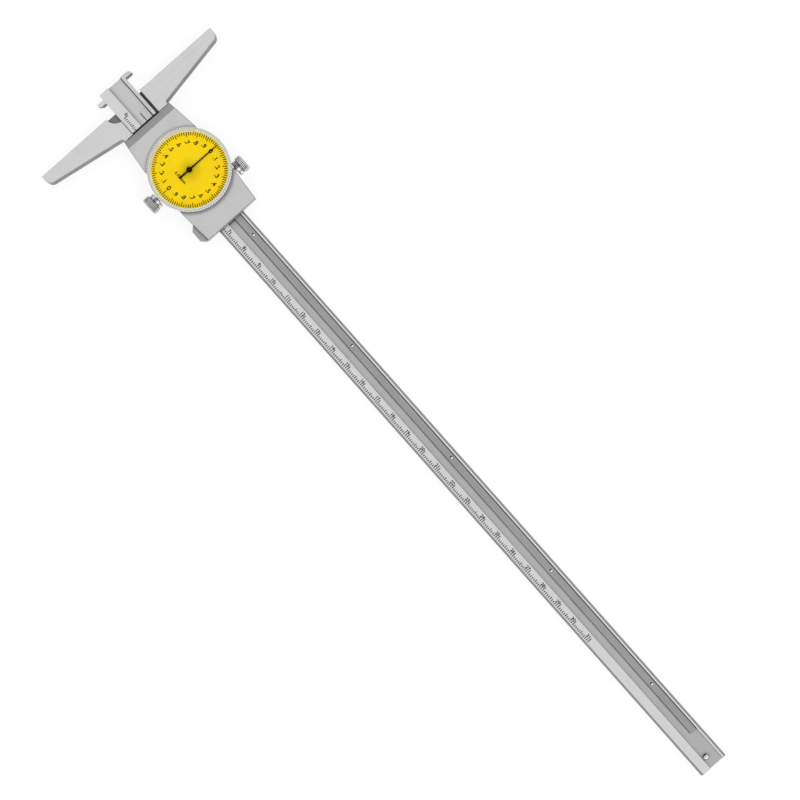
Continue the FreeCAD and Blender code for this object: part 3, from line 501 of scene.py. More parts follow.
def beam_paint(w, position, colour):
    """Painted shade on the bevels, right wall and hooks' backs, painted light on the left wall, and painted
    light and shade on the floor at the measuring end.
    """
    head = near_end(w, position)
    across = w.along(position, "X")
    height = w.along(position, "Z")
    # at the measuring end the floor is painted lighter, with painted shade beside its left wall
    floor = w.ramp(height, channel_level + STEP_FADE, channel_level)
    shaded = w.ramp(across, channel_left, channel_left + floor_shade)
    colour = w.blend(w.times(floor, head), colour, w.blend(shaded, FLOOR_SHADED, FLOOR_LIT))
    rail = beyond(w, across, rack_high.x + SOFT)
    colour = w.blend(rail, colour, w.blend(head, RAIL, RAIL_AT_HEAD))
    # painted shade on the bevels, away from the measuring end
    outside = beyond(w, w.math("ABSOLUTE", across), beam_half - bevel_width, bevel_fade)
    upper = beyond(w, height, beam_front - bevel_depth, bevel_fade)
    bevel = w.times(w.times(outside, upper), w.math("SUBTRACT", 1.0, head))
    colour = w.blend(bevel, colour, BEVEL_SHADE)
    # painted shade along the right wall at the measuring end, and painted light on the left wall
    wall = strip_mask(w, position, "X", wall_from, wall_to)
    colour = w.blend(w.times(wall, head), colour, RIGHT_WALL_SHADE)
    left_wall = strip_mask(w, position, "X", channel_left - SOFT, channel_left + CRISP, CRISP)
    colour = w.blend(left_wall, colour, LEFT_WALL_LIGHT)
    # painted shade along the top edges of the hooks' backs, and on the backs themselves
    right_edge = strip_mask(w, position, "Y", right_hook_back, right_hook_back + hook_edge)
    right_hook_shade = w.times(right_edge, beyond(w, across, beam_half))
    left_edge = strip_mask(w, position, "Y", left_hook_back, left_hook_back + hook_edge)
    left_hook_shade = w.times(left_edge, beyond(w, across, -beam_half, -SOFT))
    colour = w.blend(w.math("MAXIMUM", right_hook_shade, left_hook_shade), colour, HOOK_EDGE_SHADE)
    at_hooks = beyond(w, w.along(position, "Y"), hooks_from, hooks_fade)
    backs = w.ramp(w.facing("Y"), -0.5, -0.8)
    return w.blend(w.times(at_hooks, backs), colour, HOOK_BACK_SHADE)


beam_steel = ground_metal("beam steel", BEAM_FACE, (FINE, LONG, FINE), steps=[(channel_level, BEAM_CHANNEL)],
                          side=BEAM_SIDE_SHADE, paint=beam_paint, roughness=0.3, reach=1.4 * MM, corner_shade=0.3)
print("made:", beam_steel.name)

# %% Steel of the rack
def rack_paint(w, position, colour):
    """Painted shade along the teeth and the back, and painted light at the measuring end."""
    # painted shade along both long edges
    teeth = strip_mask(w, position, "X", rack_low.x - teeth_half, rack_low.x + teeth_half)
    back = strip_mask(w, position, "X", rack_high.x - back_width, rack_high.x + SOFT)
    # painted light towards the measuring end
    lit = w.blend(near_end(w, position), colour, RACK_LIT_END)
    return w.blend(w.math("MAXIMUM", teeth, back), lit, RACK_EDGE_SHADE)


rack_steel = ground_metal("rack steel", RACK_FACE, (FINE, LONG, FINE), side=RACK_SIDE_SHADE, paint=rack_paint,
                          roughness=0.42)
print("made:", rack_steel.name)

# %% Marks on the base and cover
recess_level = (bench_top + beam_front) / 2
arm_level = 5.0 * MM                # what lies lower than the arms' faces is greyer
slot_right = 8.33 * MM              # where the slot for the beam ends and the right arm begins
lip_shade = 0.5 * MM
seam_shade = 0.25 * MM
slot_gap_shade_width = 0.35 * MM           # the painted shade beside the gap on the left arm, along the beam
shadow_outer = bezel_radius + 1.8 * MM
shadow_inner = bezel_radius + 0.6 * MM
# painted shadow round the bezel, and on the reading lip and the right arm's seam
SHADOWED = tone(182)
LIP_AND_SEAM_SHADOW = tone(24)
# painted shade along the gap beside the beam
SLOT_GAP_SHADE = tone(128)
LAPPED = tone(208)


def cover_paint(w, position, colour):
    """Painted shadow on the reading lip, along the right arm's seam, and close round the bezel."""
    across = w.along(position, "X")
    toward_end = w.along(position, "Y")
    over_slot = w.times(beyond(w, across, beam_low.x - SOFT), beyond(w, across, slot_right + SOFT, -SOFT))
    # painted shadow on the reading lip over the beam and along the right arm's seam
    lip = w.times(beyond(w, toward_end, reading_edge - lip_shade), over_slot)
    seam = w.times(beyond(w, toward_end, reading_edge - seam_shade), beyond(w, across, slot_right))
    # painted shadow close round the bezel
    offset = w.vector("MULTIPLY", w.vector("SUBTRACT", position, dial_centre), (1.0, 1.0, 0.0))
    bezel_shadow = w.ramp(w.length(offset), shadow_outer, shadow_inner)
    colour = w.blend(bezel_shadow, colour, SHADOWED)
    return w.blend(w.math("MAXIMUM", lip, seam), colour, LIP_AND_SEAM_SHADOW)


def base_paint(w, position, colour):
    """A fine painted shade by the gap on the left arm, along the beam, and a bright lapped measuring face.
    """
    # painted shade along the gap between the left arm and the beam
    line = strip_mask(w, position, "X", -beam_half - slot_gap_shade_width, -beam_half, CRISP)
    lapped = w.ramp(w.facing("Y"), 0.7, 0.95)
    return w.blend(lapped, w.blend(line, colour, SLOT_GAP_SHADE), LAPPED)


print("reading edge, mm:", round(reading_edge / MM, 2))

# %% Steel of the base, plating of the cover and small steels
# the base's sides and its deep recess take a painted shade
base_steel = ground_metal("base steel", tone(209), (LONG, FINE, FINE),
                          steps=[(arm_level, tone(165)), (recess_level, tone(120))],
                          side=tone(96), paint=base_paint, reach=1.6 * MM, corner_shade=0.9)
cover_satin = ground_metal("satin plating", tone(200), (FINE, FINE, FINE), paint=cover_paint,
                           roughness=0.42, grain=0.03, reach=3.0 * MM, corner_shade=0.6)
# the screw's upright faces take a painted shade
screw_steel = ground_metal("screw steel", tone(205), (FINE, FINE, FINE), side=tone(150), roughness=0.26)
arbor_steel = ground_metal("arbor steel", tone(200), (FINE, FINE, LONG), roughness=0.22)
spring_steel = ground_metal("blued spring", tone(88, 98, 140), (FINE, FINE, FINE), roughness=0.25)
print("steels made:", len([m for m in bpy.data.materials if "steel" in m.name]))

# %% [markdown]
# The rivets of the rack and the stop screw have low polished heads with a painted shade
# round each rim.  Each head has a painted highlight on its side towards the beam's far end
# and painted shade on the other side.  The rivets stand evenly in a row, so instead of one
# mask for each of them the coordinate along the beam is wrapped, and a single mask serves them all.

# %% Steel of the small domed heads
HEAD_PAINTED_LIGHT = tone(244)
HEAD_PAINTED_SHADE = tone(56)
HEAD_FADE = 0.25 * MM               # the way over which a head's painted shade fades in


def domed_head(name, node, highlight_radius, shade_from, count=1, pitch=1.0):
    """Bright steel with a painted highlight, and painted shade round each head's rim and on its side towards
    the hooks.

    The marks repeat every pitch along the beam, and a pitch of a metre leaves one.
    """
    low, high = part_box(node)
    head_radius = (high.x - low.x) / 2
    first = Vector(((low.x + high.x) / 2, high.y - head_radius, high.z))

    def paint(w, position, colour):
        offset = w.vector("SUBTRACT", position, first)
        wrapped = {0: w.along(offset, "Y"), 1: pitch / 2, 2: -pitch / 2}
        along = w.call("ShaderNodeMath", wrapped, operation="WRAP")
        flat = w.point(w.along(offset, "X"), along)
        # painted shade round the rim and on the side towards the hooks; the rest keeps a painted highlight
        rim = beyond(w, w.length(flat), highlight_radius)
        shaded_side = beyond(w, along, shade_from, HEAD_FADE)
        return w.blend(w.math("MAXIMUM", rim, shaded_side), colour, HEAD_PAINTED_SHADE)

    print(name, "heads:", count)
    return ground_metal(name, HEAD_PAINTED_LIGHT, (FINE, FINE, FINE), paint=paint, roughness=0.16, spread=0.03)


rivet_count = 6
rivet_low, rivet_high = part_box("rack_pins")
rivet_pitch = (rivet_high.y - rivet_low.y - (rivet_high.x - rivet_low.x)) / (rivet_count - 1)
pin_steel = domed_head("bright pin", "rack_pins", highlight_radius=0.55 * MM, shade_from=0.0,
                       count=rivet_count, pitch=rivet_pitch)
stop_steel = domed_head("stop screw steel", "end_stop_screw", highlight_radius=1.05 * MM, shade_from=0.4 * MM)
print("rivets every", round(rivet_pitch / MM, 2), "mm")

# %% [markdown]
# ## The movement's brass and bronze
# Nobody sees the movement until the cover is off, but it is made of real things too:
# brass plates with a straight grain, bushes of redder bronze.  They differ from steel in
# colour and grain alone, so the same recipe makes them.

# %% Brass and bronze
movement_brass = ground_metal("movement brass", tone(214, 184, 112), (FINE, LONG, FINE), roughness=0.28,
                              grain=0.08, wear=0.3)
bush_bronze = ground_metal("bush bronze", tone(196, 150, 100), (FINE, FINE, LONG), roughness=0.3, wear=0.3)
gib_bronze = ground_metal("gib bronze", tone(170, 132, 86), (FINE, LONG, FINE), roughness=0.36, wear=0.3)
print("brasses made: 3")

# %% [markdown]
# ## Chrome for what is turned
# The bezel and the two thumb screws are turned, chromed and polished.  Their lines are
# rings round their own axes, which is what the turning group draws.  An anisotropic
# highlight would hint at such rings too, but rings in the colour and relief can be seen
# from close by.

# %% Recipe for turned chrome
LATHE_RINGS = 9000.0                # about this many rings in a metre of radius
ABOUT_Z = (1.0, 1.0, 0.0)           # the coordinates that a turning about this axis keeps
ABOUT_X = (0.0, 1.0, 1.0)


def turned_chrome(name, centre, keep, face, roughness, paint=None, corner_shade=0.7, satin_from=None):
    """Chromed metal with fine lathe rings round one axis.

    paint may add marks: it takes the wiring, the position, the radius and the colour.
    Beyond the radius satin_from the chrome is blasted and scatters light softly.
    """
    material, w, shader, position = start_material(name)
    shader.inputs["Metallic"].default_value = 1.0
    lathe = place_group(w, turned_rings, Position=position, Centre=centre, Keep=keep,
                        Rings=LATHE_RINGS)
    if satin_from is not None:
        polished = w.ramp(lathe["Radius"], satin_from - CRISP, satin_from, 1.0, 0.0)
        w.feed(shader.inputs["Metallic"], polished)
    shade = w.ramp(lathe["Shade"], 0.25, 0.75, 0.94, 1.05)
    colour = w.blend(1.0, face, w.grey(shade), "MULTIPLY")
    if paint is not None:
        colour = paint(w, position, lathe["Radius"], colour)
    finish_metal(w, shader, position, colour, lathe["Shade"], roughness, spread=0.03, wear=0.4,
                 bump=0.002 * MM, radius=CORNER_RADIUS / 2, corner_shade=corner_shade)
    return material


print("recipe ready: turned chrome")

# %% Chrome of the bezel
BEZEL_FACE = tone(230, 228, 216)
# painted shade on the band outside the crown, painted highlight on the coin edge's tips
BEZEL_BAND_SHADE = tone(206)
COIN_TIP_HIGHLIGHT = tone(250)
band_inner = bezel_radius - 0.95 * MM
satin_inner = bezel_radius - 0.75 * MM
tips_inner = bezel_radius - 0.5 * MM
band_outer = bezel_radius - 0.4 * MM


def bezel_paint(w, position, radius, colour):
    """Painted shade on a band outside the crown, and a painted highlight on the tips of the coin edge."""
    # painted shade on the band, and a painted highlight on the tips
    band = w.times(beyond(w, radius, band_inner), beyond(w, radius, band_outer, -SOFT))
    tips = beyond(w, radius, tips_inner)
    return w.blend(tips, w.blend(band, colour, BEZEL_BAND_SHADE), COIN_TIP_HIGHLIGHT)


bezel_chrome = turned_chrome("bezel chrome", dial_centre, ABOUT_Z, BEZEL_FACE, 0.16,
                             paint=bezel_paint, corner_shade=0.15, satin_from=satin_inner)
print("chrome made:", bezel_chrome.name)

# %% [markdown]
# ## Lacquer, ink and the clear cap
# The dial is yellow lacquer on brass, with a faint orange-peel texture.  The ink of the
# scales is a dark brown-black that is a little raised and matt.  The cap over the dial is
# clear acrylic: light shines through it, so a Light Path switch lets shadow and diffuse
# rays pass.  A thin cap hardly bends what lies under it, so its index is low and most of
# the view goes straight through.

# %% Lacquers and inks
HUB_SHADE = 0.74            # how dark the painted shade is beside the hub
HUB_SHADE_FROM = 1.2 * MM
HUB_SHADE_TO = 7.0 * MM
ORANGE_PEEL = 1800.0        # scale of the lacquer's soft relief


def lacquer(name, face, roughness, peel, shine=0.5, shaded_round=None):
    """Paint with a soft orange-peel relief and faint patches.

    It may carry a painted shade round a point, as under the pointer's hub.
    """
    material, w, shader, position = start_material(name)
    shader.inputs["Specular IOR Level"].default_value = shine
    touched = place_group(w, handling, Position=position)
    shade = w.ramp(touched["Smudge"], 0.0, 1.0, 0.97, 1.02)
    if shaded_round is not None:
        # painted shade round the point, darkest beside it
        radius = w.vector("DISTANCE", position, shaded_round, 1)
        shade = w.times(shade, w.ramp(radius, HUB_SHADE_FROM, HUB_SHADE_TO, HUB_SHADE, 1.0))
    w.feed(shader.inputs["Base Color"], w.blend(1.0, face, w.grey(shade), "MULTIPLY"))
    w.feed(shader.inputs["Roughness"], w.ramp(touched["Smudge"], 0.0, 1.0, roughness, roughness + 0.06))
    relief = {"Height": w.noise(position, ORANGE_PEEL, 2.0), "Strength": 0.4, "Distance": peel}
    w.feed(shader.inputs["Normal"], w.call("ShaderNodeBump", relief))
    return material


dial_yellow = lacquer("dial yellow", tone(255, 218, 18), 0.5, 0.004 * MM, 0.08, dial_centre)
pointer_black = lacquer("pointer black", tone(14, 12, 10), 0.5, 0.003 * MM, 0.1)
scale_ink = lacquer("scale ink", tone(10, 9, 8), 0.7, 0.003 * MM, 0.2)
dial_ink = lacquer("dial ink", tone(20, 13, 4), 0.7, 0.003 * MM, 0.1)
# painted light: a cream ring where the cap's wall lets light down to the dial's rim
cream_light_ring = lacquer("cream ring", tone(255, 250, 218), 0.5, 0.003 * MM, 0.1)
print("lacquers made: 5")

# %% Clear acrylic
def clear_acrylic():
    """Clear cap that lets lamps through."""
    material, w, shader, position = start_material("clear acrylic")
    touched = place_group(w, handling, Position=position)
    shader.inputs["Base Color"].default_value = (0.99, 0.99, 0.985, 1.0)
    shader.inputs["Transmission Weight"].default_value = 1.0
    shader.inputs["IOR"].default_value = 1.12
    shader.inputs["Alpha"].default_value = 0.12
    w.feed(shader.inputs["Roughness"], w.ramp(touched["Smudge"], 0.0, 1.0, 0.0, 0.004))
    rays = w.add("ShaderNodeLightPath").outputs
    passing = w.math("MAXIMUM", rays["Is Shadow Ray"], rays["Is Diffuse Ray"])
    film = w.call("ShaderNodeBsdfTransparent", {"Color": (0.97, 0.97, 0.96, 1.0)})
    mix = w.call("ShaderNodeMixShader", {0: passing, 1: shader.outputs[0], 2: film})
    w.feed(material.node_tree.nodes["Material Output"].inputs["Surface"], mix)
    return material


crystal_clear = clear_acrylic()
print("acrylic made:", crystal_clear.name)

# %% [markdown]
# ## Dressing the solid parts that stay
# Where the CAD shape is right, only its material changes.  The table pairs each record
# slot with the finish made above, and each solid part looks up its own slot.

# %% Give every solid part its finish
finish_of = {
    "beam_steel": beam_steel, "rack_steel": rack_steel, "pin_steel": pin_steel,
    "screw_steel": screw_steel, "base_steel": base_steel, "gib_bronze": gib_bronze,
    "thumb_screw_chrome": screw_steel, "cover_satin": cover_satin,
    "movement_brass": movement_brass, "bush_bronze": bush_bronze, "arbor_steel": arbor_steel,
    "spring_steel": spring_steel, "pointer_black": pointer_black, "dial_yellow": dial_yellow,
    "crystal_clear": crystal_clear, "bezel_chrome": bezel_chrome,
}
for part in frame["record"]["subparts"]:
    slots = nodes[part["node"]].data.materials
    slots.clear()
    slots.append(finish_of[part["material_slot"]])
nodes["end_stop_screw"].data.materials[0] = stop_steel

# %% [markdown]
# ## Turned shapes
# A bezel or a screw is a profile turned about an axis.  Blender's spin tool could do it,
# but a few lines of mesh code keep the faces in order: one ring of corners for each point
# of the profile, and one strip of faces between two rings.  A profile point on the axis
# becomes a single corner, so the poles are closed.

# %% Helpers for turned shapes
SHARP = math.radians(28)


def keep_mesh(name, mesh, materials=()):
    """Puts a mesh in the scene as an object, with smooth faces and sharp corners."""
    for material in materials:
        mesh.materials.append(material)
    for face in mesh.polygons:
        face.use_smooth = True
    mesh.set_sharp_from_angle(angle=SHARP)
    piece = bpy.data.objects.new(name, mesh)
    bpy.context.scene.collection.objects.link(piece)
    return piece


def turn(name, profile, place, steps, closed, finishes=None):
    """Turns radius and height pairs about Z, then moves the result by a matrix."""
    made = bmesh.new()
    rings = []
    for radius, height in profile:
        if radius == 0:
            rings.append([made.verts.new((0, 0, height))] * steps)
            continue
        angles = [2 * math.pi * i / steps for i in range(steps)]
        rings.append([made.verts.new((radius * math.cos(a), radius * math.sin(a), height)) for a in angles])
    pairs = list(zip(rings, rings[1:] + rings[:1])) if closed else list(zip(rings, rings[1:]))
    for index, (low, high) in enumerate(pairs):
        for i in range(steps):
            j = (i + 1) % steps
            corners = list(dict.fromkeys([low[i], low[j], high[j], high[i]]))
            face = made.faces.new(corners)
            face.material_index = finishes[index] if finishes else 0
    bmesh.ops.recalc_face_normals(made, faces=made.faces)
    made.transform(place)
    mesh = bpy.data.meshes.new(name)
    made.to_mesh(mesh)
    made.free()
    return mesh


def weld(name, meshes, materials):
    """Joins meshes into one.  Their own material numbers stay as they are."""
    made = bmesh.new()
    for mesh in meshes:
        made.from_mesh(mesh)
    whole = bpy.data.meshes.new(name)
    made.to_mesh(whole)
    made.free()
    return keep_mesh(name, whole, materials)


print("turning helpers ready")

# %% [markdown]
# ## Geometry Nodes for what repeats
# Ribs, knurls and graduations are the same small shape many times over.  A Geometry Nodes
# tree places them from named numbers.  The helper below runs a tree once and keeps the
# result as a plain mesh, because instances are lost when the model is exported.

# %% A helper that grows a mesh from a tree
def grow(name, tree, values):
    """Runs a Geometry Nodes tree with these input values and returns a plain mesh."""
    carrier = bpy.data.objects.new(name, bpy.data.meshes.new(name))
    bpy.context.scene.collection.objects.link(carrier)
    modifier = carrier.modifiers.new("grow", "NODES")
    modifier.node_group = tree
    for item in tree.interface.items_tree:
        if item.in_out == "INPUT" and item.name in values:
            modifier[item.identifier] = values[item.name]
    evaluated = carrier.evaluated_get(bpy.context.evaluated_depsgraph_get())
    mesh = bpy.data.meshes.new_from_object(evaluated)
    for face in mesh.polygons:
        face.material_index = 0
    bpy.data.objects.remove(carrier)
    print(name, "has", len(mesh.polygons), "faces")
    return mesh


def close_tree(w, result, geometry, material):
    """Ends a tree as every tree here ends: real geometry with its material set."""
    real = w.call("GeometryNodeRealizeInstances", {0: geometry})
    w.feed(result[0], w.call("GeometryNodeSetMaterial", {"Geometry": real, "Material": material}))


print("growing helper ready")

# %% [markdown]
# ## The bezel's coin edge
# The bezel turns the dial to zero, so its lower edge has close to ninety fine ribs that a
# fingertip can hold.  The plain ring is turned, and the ribs stand round it: each is a
# small eight-sided bar, half sunk, whose outer side reaches the bezel's real radius.
# Cutting grooves with a Boolean would give the same edge, but it is slow and leaves untidy
# faces where the cuts meet the ring.

# %% Tree that stands ribs round a ring
def build_ribs():
    """Upright bars in a ring, each turned to face outwards."""
    inputs = [("Ribs", WHOLE, 8), ("Ring", FLOAT, 1.0), ("Rib radius", FLOAT, 0.1),
              ("Rib height", FLOAT, 1.0), ("Centre", VECTOR, (0.0, 0.0, 0.0)),
              ("Material", "NodeSocketMaterial", None)]
    tree, w, given, result = open_tree("coin edge", "GeometryNodeTree", inputs,
                                       [("Geometry", "NodeSocketGeometry")])
    ring = w.call("GeometryNodeMeshCircle", {"Vertices": given["Ribs"], "Radius": given["Ring"]})
    bar = w.call("GeometryNodeMeshCylinder", {"Vertices": 8, "Radius": given["Rib radius"],
                                              "Depth": given["Rib height"]})
    outward = w.call("GeometryNodeInputPosition", {})
    turn_out = w.call("FunctionNodeAlignRotationToVector", {"Vector": outward}, axis="X")
    ribs = w.call("GeometryNodeInstanceOnPoints", {"Points": ring, "Instance": bar, "Rotation": turn_out})
    placed = w.call("GeometryNodeTransform", {"Geometry": ribs, "Translation": given["Centre"]})
    close_tree(w, result, placed, given["Material"])
    return tree


ribs_tree = build_ribs()
print("tree made:", ribs_tree.name)

# %% Measure the bezel
rib_count = 88
rib_radius = 0.46 * MM
grip_low = bezel_high.z - 3.9 * MM
grip_high = grip_low + 3.0 * MM
valley = bezel_radius - 0.25 * MM
skirt_inner = bezel_radius - 2.9 * MM
skirt_outer = bezel_radius - 2.0 * MM
groove_radius = bezel_radius - 2.25 * MM
groove_low = bezel_low.z + 1.05 * MM
groove_high = bezel_low.z + 1.61 * MM
crown = bezel_radius - 0.52 * MM
opening = bezel_radius - 1.25 * MM
seat = bezel_radius - 1.08 * MM
shelf = bezel_high.z - 0.48 * MM
small = 0.1 * MM
print("bezel opening radius, mm:", round(opening / MM, 2))

# %% Make the bezel
bezel_profile = [
    (skirt_inner, bezel_low.z), (skirt_outer, bezel_low.z), (skirt_outer, groove_low),
    (groove_radius, groove_low), (groove_radius, groove_high), (skirt_outer, groove_high),
    (skirt_outer, grip_low), (valley - small, grip_low), (valley, grip_low + small),
    (valley, grip_high - small), (valley - small, grip_high), (crown, grip_high),
    (crown, bezel_high.z - 5 * small), (crown - small, bezel_high.z - 2.5 * small),
    (crown - 3 * small, bezel_high.z - 0.8 * small), (opening + 2 * small, bezel_high.z),
    (opening + 0.5 * small, bezel_high.z - 0.5 * small), (opening, bezel_high.z - 2 * small),
    (opening, shelf), (seat, shelf), (seat, dial_low.z), (skirt_inner, dial_low.z)]
ring_steps = 240
over_dial = Matrix.Translation((dial_centre.x, dial_centre.y, 0))
cream_from = len(bezel_profile) - 6     # the inner wall is lacquered cream and lights the dial's rim
cream_to = cream_from + 4
ring_finishes = [1 if cream_from <= i < cream_to else 0 for i in range(len(bezel_profile))]
ring_mesh = turn("bezel ring", bezel_profile, over_dial, ring_steps, True, ring_finishes)
rib_mesh = grow("bezel ribs", ribs_tree, {
    "Ribs": rib_count, "Ring": bezel_radius - rib_radius, "Rib radius": rib_radius,
    "Rib height": grip_high - grip_low - 2 * small,
    "Centre": (dial_centre.x, dial_centre.y, (grip_low + grip_high) / 2), "Material": bezel_chrome})
bezel = weld("bezel_ring", [ring_mesh, rib_mesh], [bezel_chrome, cream_light_ring])
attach(bezel, "bezel")
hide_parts("bezel")
print("bezel has", len(bezel.data.polygons), "faces")

# %% [markdown]
# ## The clear cap
# The cap is one clear moulding: a flat window with a wall round it that stands on the
# dial plate's rim, under the bezel's lip.  It is turned like the bezel, because a profile
# shows each wall's thickness in one list.

# %% Make the cap
cap_steps = 160
cap_outer = dial_high.x - dial_centre.x
cap_inner = cap_outer - 0.7 * MM
cap_under = crystal_high.z - 0.9 * MM
cap_opening = opening - 0.02 * MM
cap_foot = dial_face + 0.03 * MM
cap_shoulder = crystal_high.z - 0.35 * MM
cap_slope = crystal_high.z - 0.17 * MM
cap_profile = [
    (0, cap_under), (cap_inner, cap_under), (cap_inner, cap_foot), (cap_outer, cap_foot),
    (cap_outer, cap_shoulder), (cap_opening, cap_shoulder), (cap_opening, cap_slope),
    (cap_inner, crystal_high.z), (0, crystal_high.z)]
cap_mesh = turn("cap", cap_profile, over_dial, cap_steps, closed=False)
cap = keep_mesh("crystal_cap", cap_mesh, [crystal_clear])
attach(cap, "bezel")
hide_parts("crystal")
print("cap has", len(cap_mesh.polygons), "faces")

# %% [markdown]
# ## Knurled thumb screws
# A knurl is pressed in by toothed wheels whose grooves cross, which leaves rows of small
# square points.  A bump would leave the outline smooth, and crossed helical cuts take a
# great many faces.  So the tree sets a grid of places round the screw and stands a blunt
# four-sided point on each.

# %% Tree that knurls a cylinder along X
POINT_TOP = 0.45            # a point's half width at its top and foot, next to the row step
POINT_FOOT = 0.7


def build_knurl():
    """Rows of blunt points round an axis along X."""
    inputs = [("Around", WHOLE, 24), ("Rows", WHOLE, 4), ("Start", FLOAT, 0.0), ("Row step", FLOAT, 1.0),
              ("Base radius", FLOAT, 1.0), ("Point height", FLOAT, 0.1), ("Axis", VECTOR, (0.0, 0.0, 0.0)),
              ("Material", "NodeSocketMaterial", None)]
    tree, w, given, result = open_tree("diamond knurl", "GeometryNodeTree", inputs,
                                       [("Geometry", "NodeSocketGeometry")])
    around = given["Around"]
    index = w.call("GeometryNodeInputIndex", {})
    row = w.math("FLOOR", w.math("DIVIDE", index, around))
    column = w.math("MODULO", index, around)
    angle = w.times(w.math("DIVIDE", column, around), 2 * math.pi)
    along = w.math("ADD", given["Start"], w.times(row, given["Row step"]))
    side = w.times(w.math("COSINE", angle), given["Base radius"])
    rise = w.times(w.math("SINE", angle), given["Base radius"])
    place = w.point(along, side, rise)
    count = w.times(around, given["Rows"])
    points = w.call("GeometryNodePoints", {"Count": count, "Position": place})
    step = w.math("ABSOLUTE", given["Row step"])
    cone = w.call("GeometryNodeMeshCone", {
        "Vertices": 4, "Radius Top": w.times(step, POINT_TOP),
        "Radius Bottom": w.times(step, POINT_FOOT), "Depth": given["Point height"]})
    eighth = w.call("FunctionNodeEulerToRotation", {0: (0.0, 0.0, math.pi / 4)})
    point = w.call("GeometryNodeTransform", {"Geometry": cone, "Rotation": eighth})
    lean = w.point(w.math("SUBTRACT", angle, math.pi / 2))
    spin = w.call("FunctionNodeEulerToRotation", {0: lean})
    knurl = w.call("GeometryNodeInstanceOnPoints", {"Points": points, "Instance": point, "Rotation": spin})
    placed = w.call("GeometryNodeTransform", {"Geometry": knurl, "Translation": given["Axis"]})
    close_tree(w, result, placed, given["Material"])
    return tree


knurl_tree = build_knurl()
print("tree made:", knurl_tree.name)

# %% Sizes shared by both thumb screws
stem_radius = 1.25 * MM
collar_radius = 3.65 * MM
waist_radius = 3.0 * MM
knurl_depth = 0.25 * MM
screw_edge = 0.3 * MM
screw_steps = 96
knurl_around = 32
collar_reflection_streaks = 4.0                # painted reflections: dark streaks that stand round the collar
reflection_streak_share = 0.85
dimple_rim = 0.62                   # the dimple in the end, next to the core's radius
dimple_edge = 0.58
dimple_floor = 0.22
SCREW_FACE = tone(248)
# painted reflection on the collar and painted shade in the knurl's grooves
REFLECTION_STREAK = tone(92)
GROOVE_SHADE = tone(14)
print("knurl points around a screw:", knurl_around)

# %% Recipe for a thumb screw
def thumb_screw(name, node, body, facing, neck, collar_length):
    """Stem, polished collar and knurled head.  facing is 1 for +X and -1 for -X."""
    low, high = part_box(node)
    middle = (low + high) / 2
    axis_point = Vector((0, middle.y, middle.z))
    core = (high.z - low.z) / 2 - knurl_depth
    collar_end = neck + collar_length
    end = high.x - low.x
    profile = [
        (0, 0), (stem_radius * 0.7, 0), (stem_radius, screw_edge), (stem_radius, neck),
        (waist_radius, neck), (collar_radius - small, neck + small), (collar_radius, neck + screw_edge),
        (collar_radius, collar_end - 2 * screw_edge), (waist_radius, collar_end - screw_edge),
        (waist_radius, collar_end), (core - screw_edge, collar_end), (core, collar_end + screw_edge),
        (core, end - screw_edge), (core - screw_edge, end), (core * dimple_rim, end),
        (core * dimple_edge, end - small), (core * dimple_floor, end - small), (0, end - 3 * small)]
    start_x = low.x if facing > 0 else high.x
    point_along = Matrix.Rotation(math.radians(90 * facing), 4, "Y")
    place = Matrix.Translation((start_x, middle.y, middle.z)) @ point_along
    head_from = start_x + facing * collar_end

    def paint(w, position, radius, colour):
        """Painted shade in the grooves between the knurl's points, and painted reflections as dark streaks
        along the collar.
        """
        past = w.times(w.math("SUBTRACT", w.along(position, "X"), head_from), facing)
        on_head = w.ramp(past, 0.0, CRISP)
        # painted shade deep between the knurl's points
        deep = w.ramp(radius, core + 0.2 * MM, core + 0.06 * MM)
        beside = w.ramp(w.math("ABSOLUTE", w.facing("X")), 0.9, 0.6)
        groove = w.times(w.times(on_head, deep), beside)
        offset = w.vector("SUBTRACT", position, axis_point)
        # painted reflection: dark streaks round the collar
        angle = w.math("ARCTAN2", w.along(offset, "Y"), w.along(offset, "Z"))
        streak = w.ramp(w.math("COSINE", w.times(angle, collar_reflection_streaks)), 0.2, 0.8)
        streak = w.times(streak, w.math("SUBTRACT", 1.0, on_head))
        streaked = w.blend(w.times(streak, reflection_streak_share), colour, REFLECTION_STREAK)
        return w.blend(groove, streaked, GROOVE_SHADE)

    chrome = turned_chrome(name + " chrome", axis_point, ABOUT_X, SCREW_FACE, 0.2, paint=paint)
    core_mesh = turn(name, profile, place, screw_steps, closed=False)
    head_room = end - collar_end - 2 * screw_edge
    row_step = 2 * math.pi * core / knurl_around
    knurl_rows = int(head_room / row_step + 0.5)
    row_step = head_room / knurl_rows
    first = start_x + facing * (collar_end + screw_edge + row_step / 2)
    knurl = grow(name + " knurl", knurl_tree, {
        "Around": knurl_around, "Rows": knurl_rows, "Start": first, "Row step": facing * row_step,
        "Base radius": core, "Point height": knurl_depth, "Axis": tuple(axis_point),
        "Material": chrome})
    screw = weld(name, [core_mesh, knurl], [chrome])
    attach(screw, body)
    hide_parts(node)


print("thumb screw recipe ready")

# %% Make both thumb screws
thumb_screw("lock_thumb_screw", "lock_screw", "lock_screw", 1, neck=8.45 * MM, collar_length=2.4 * MM)
thumb_screw("clamp_thumb_screw", "bezel_clamp_screw", "bezel_clamp", -1,
            neck=1.28 * MM, collar_length=2.0 * MM)
print("thumb screws made")

# %% [markdown]
# ## Graduations
# A rule's lines are cut thin and filled with black.  The tree places one thin bar for each
# millimetre and picks its length by its number: every tenth is long, every fifth is
# middling and the rest are short.  An Array modifier repeats a bar as well, but can't
# choose its length.  The same tree with an angle step makes the dial's ring.

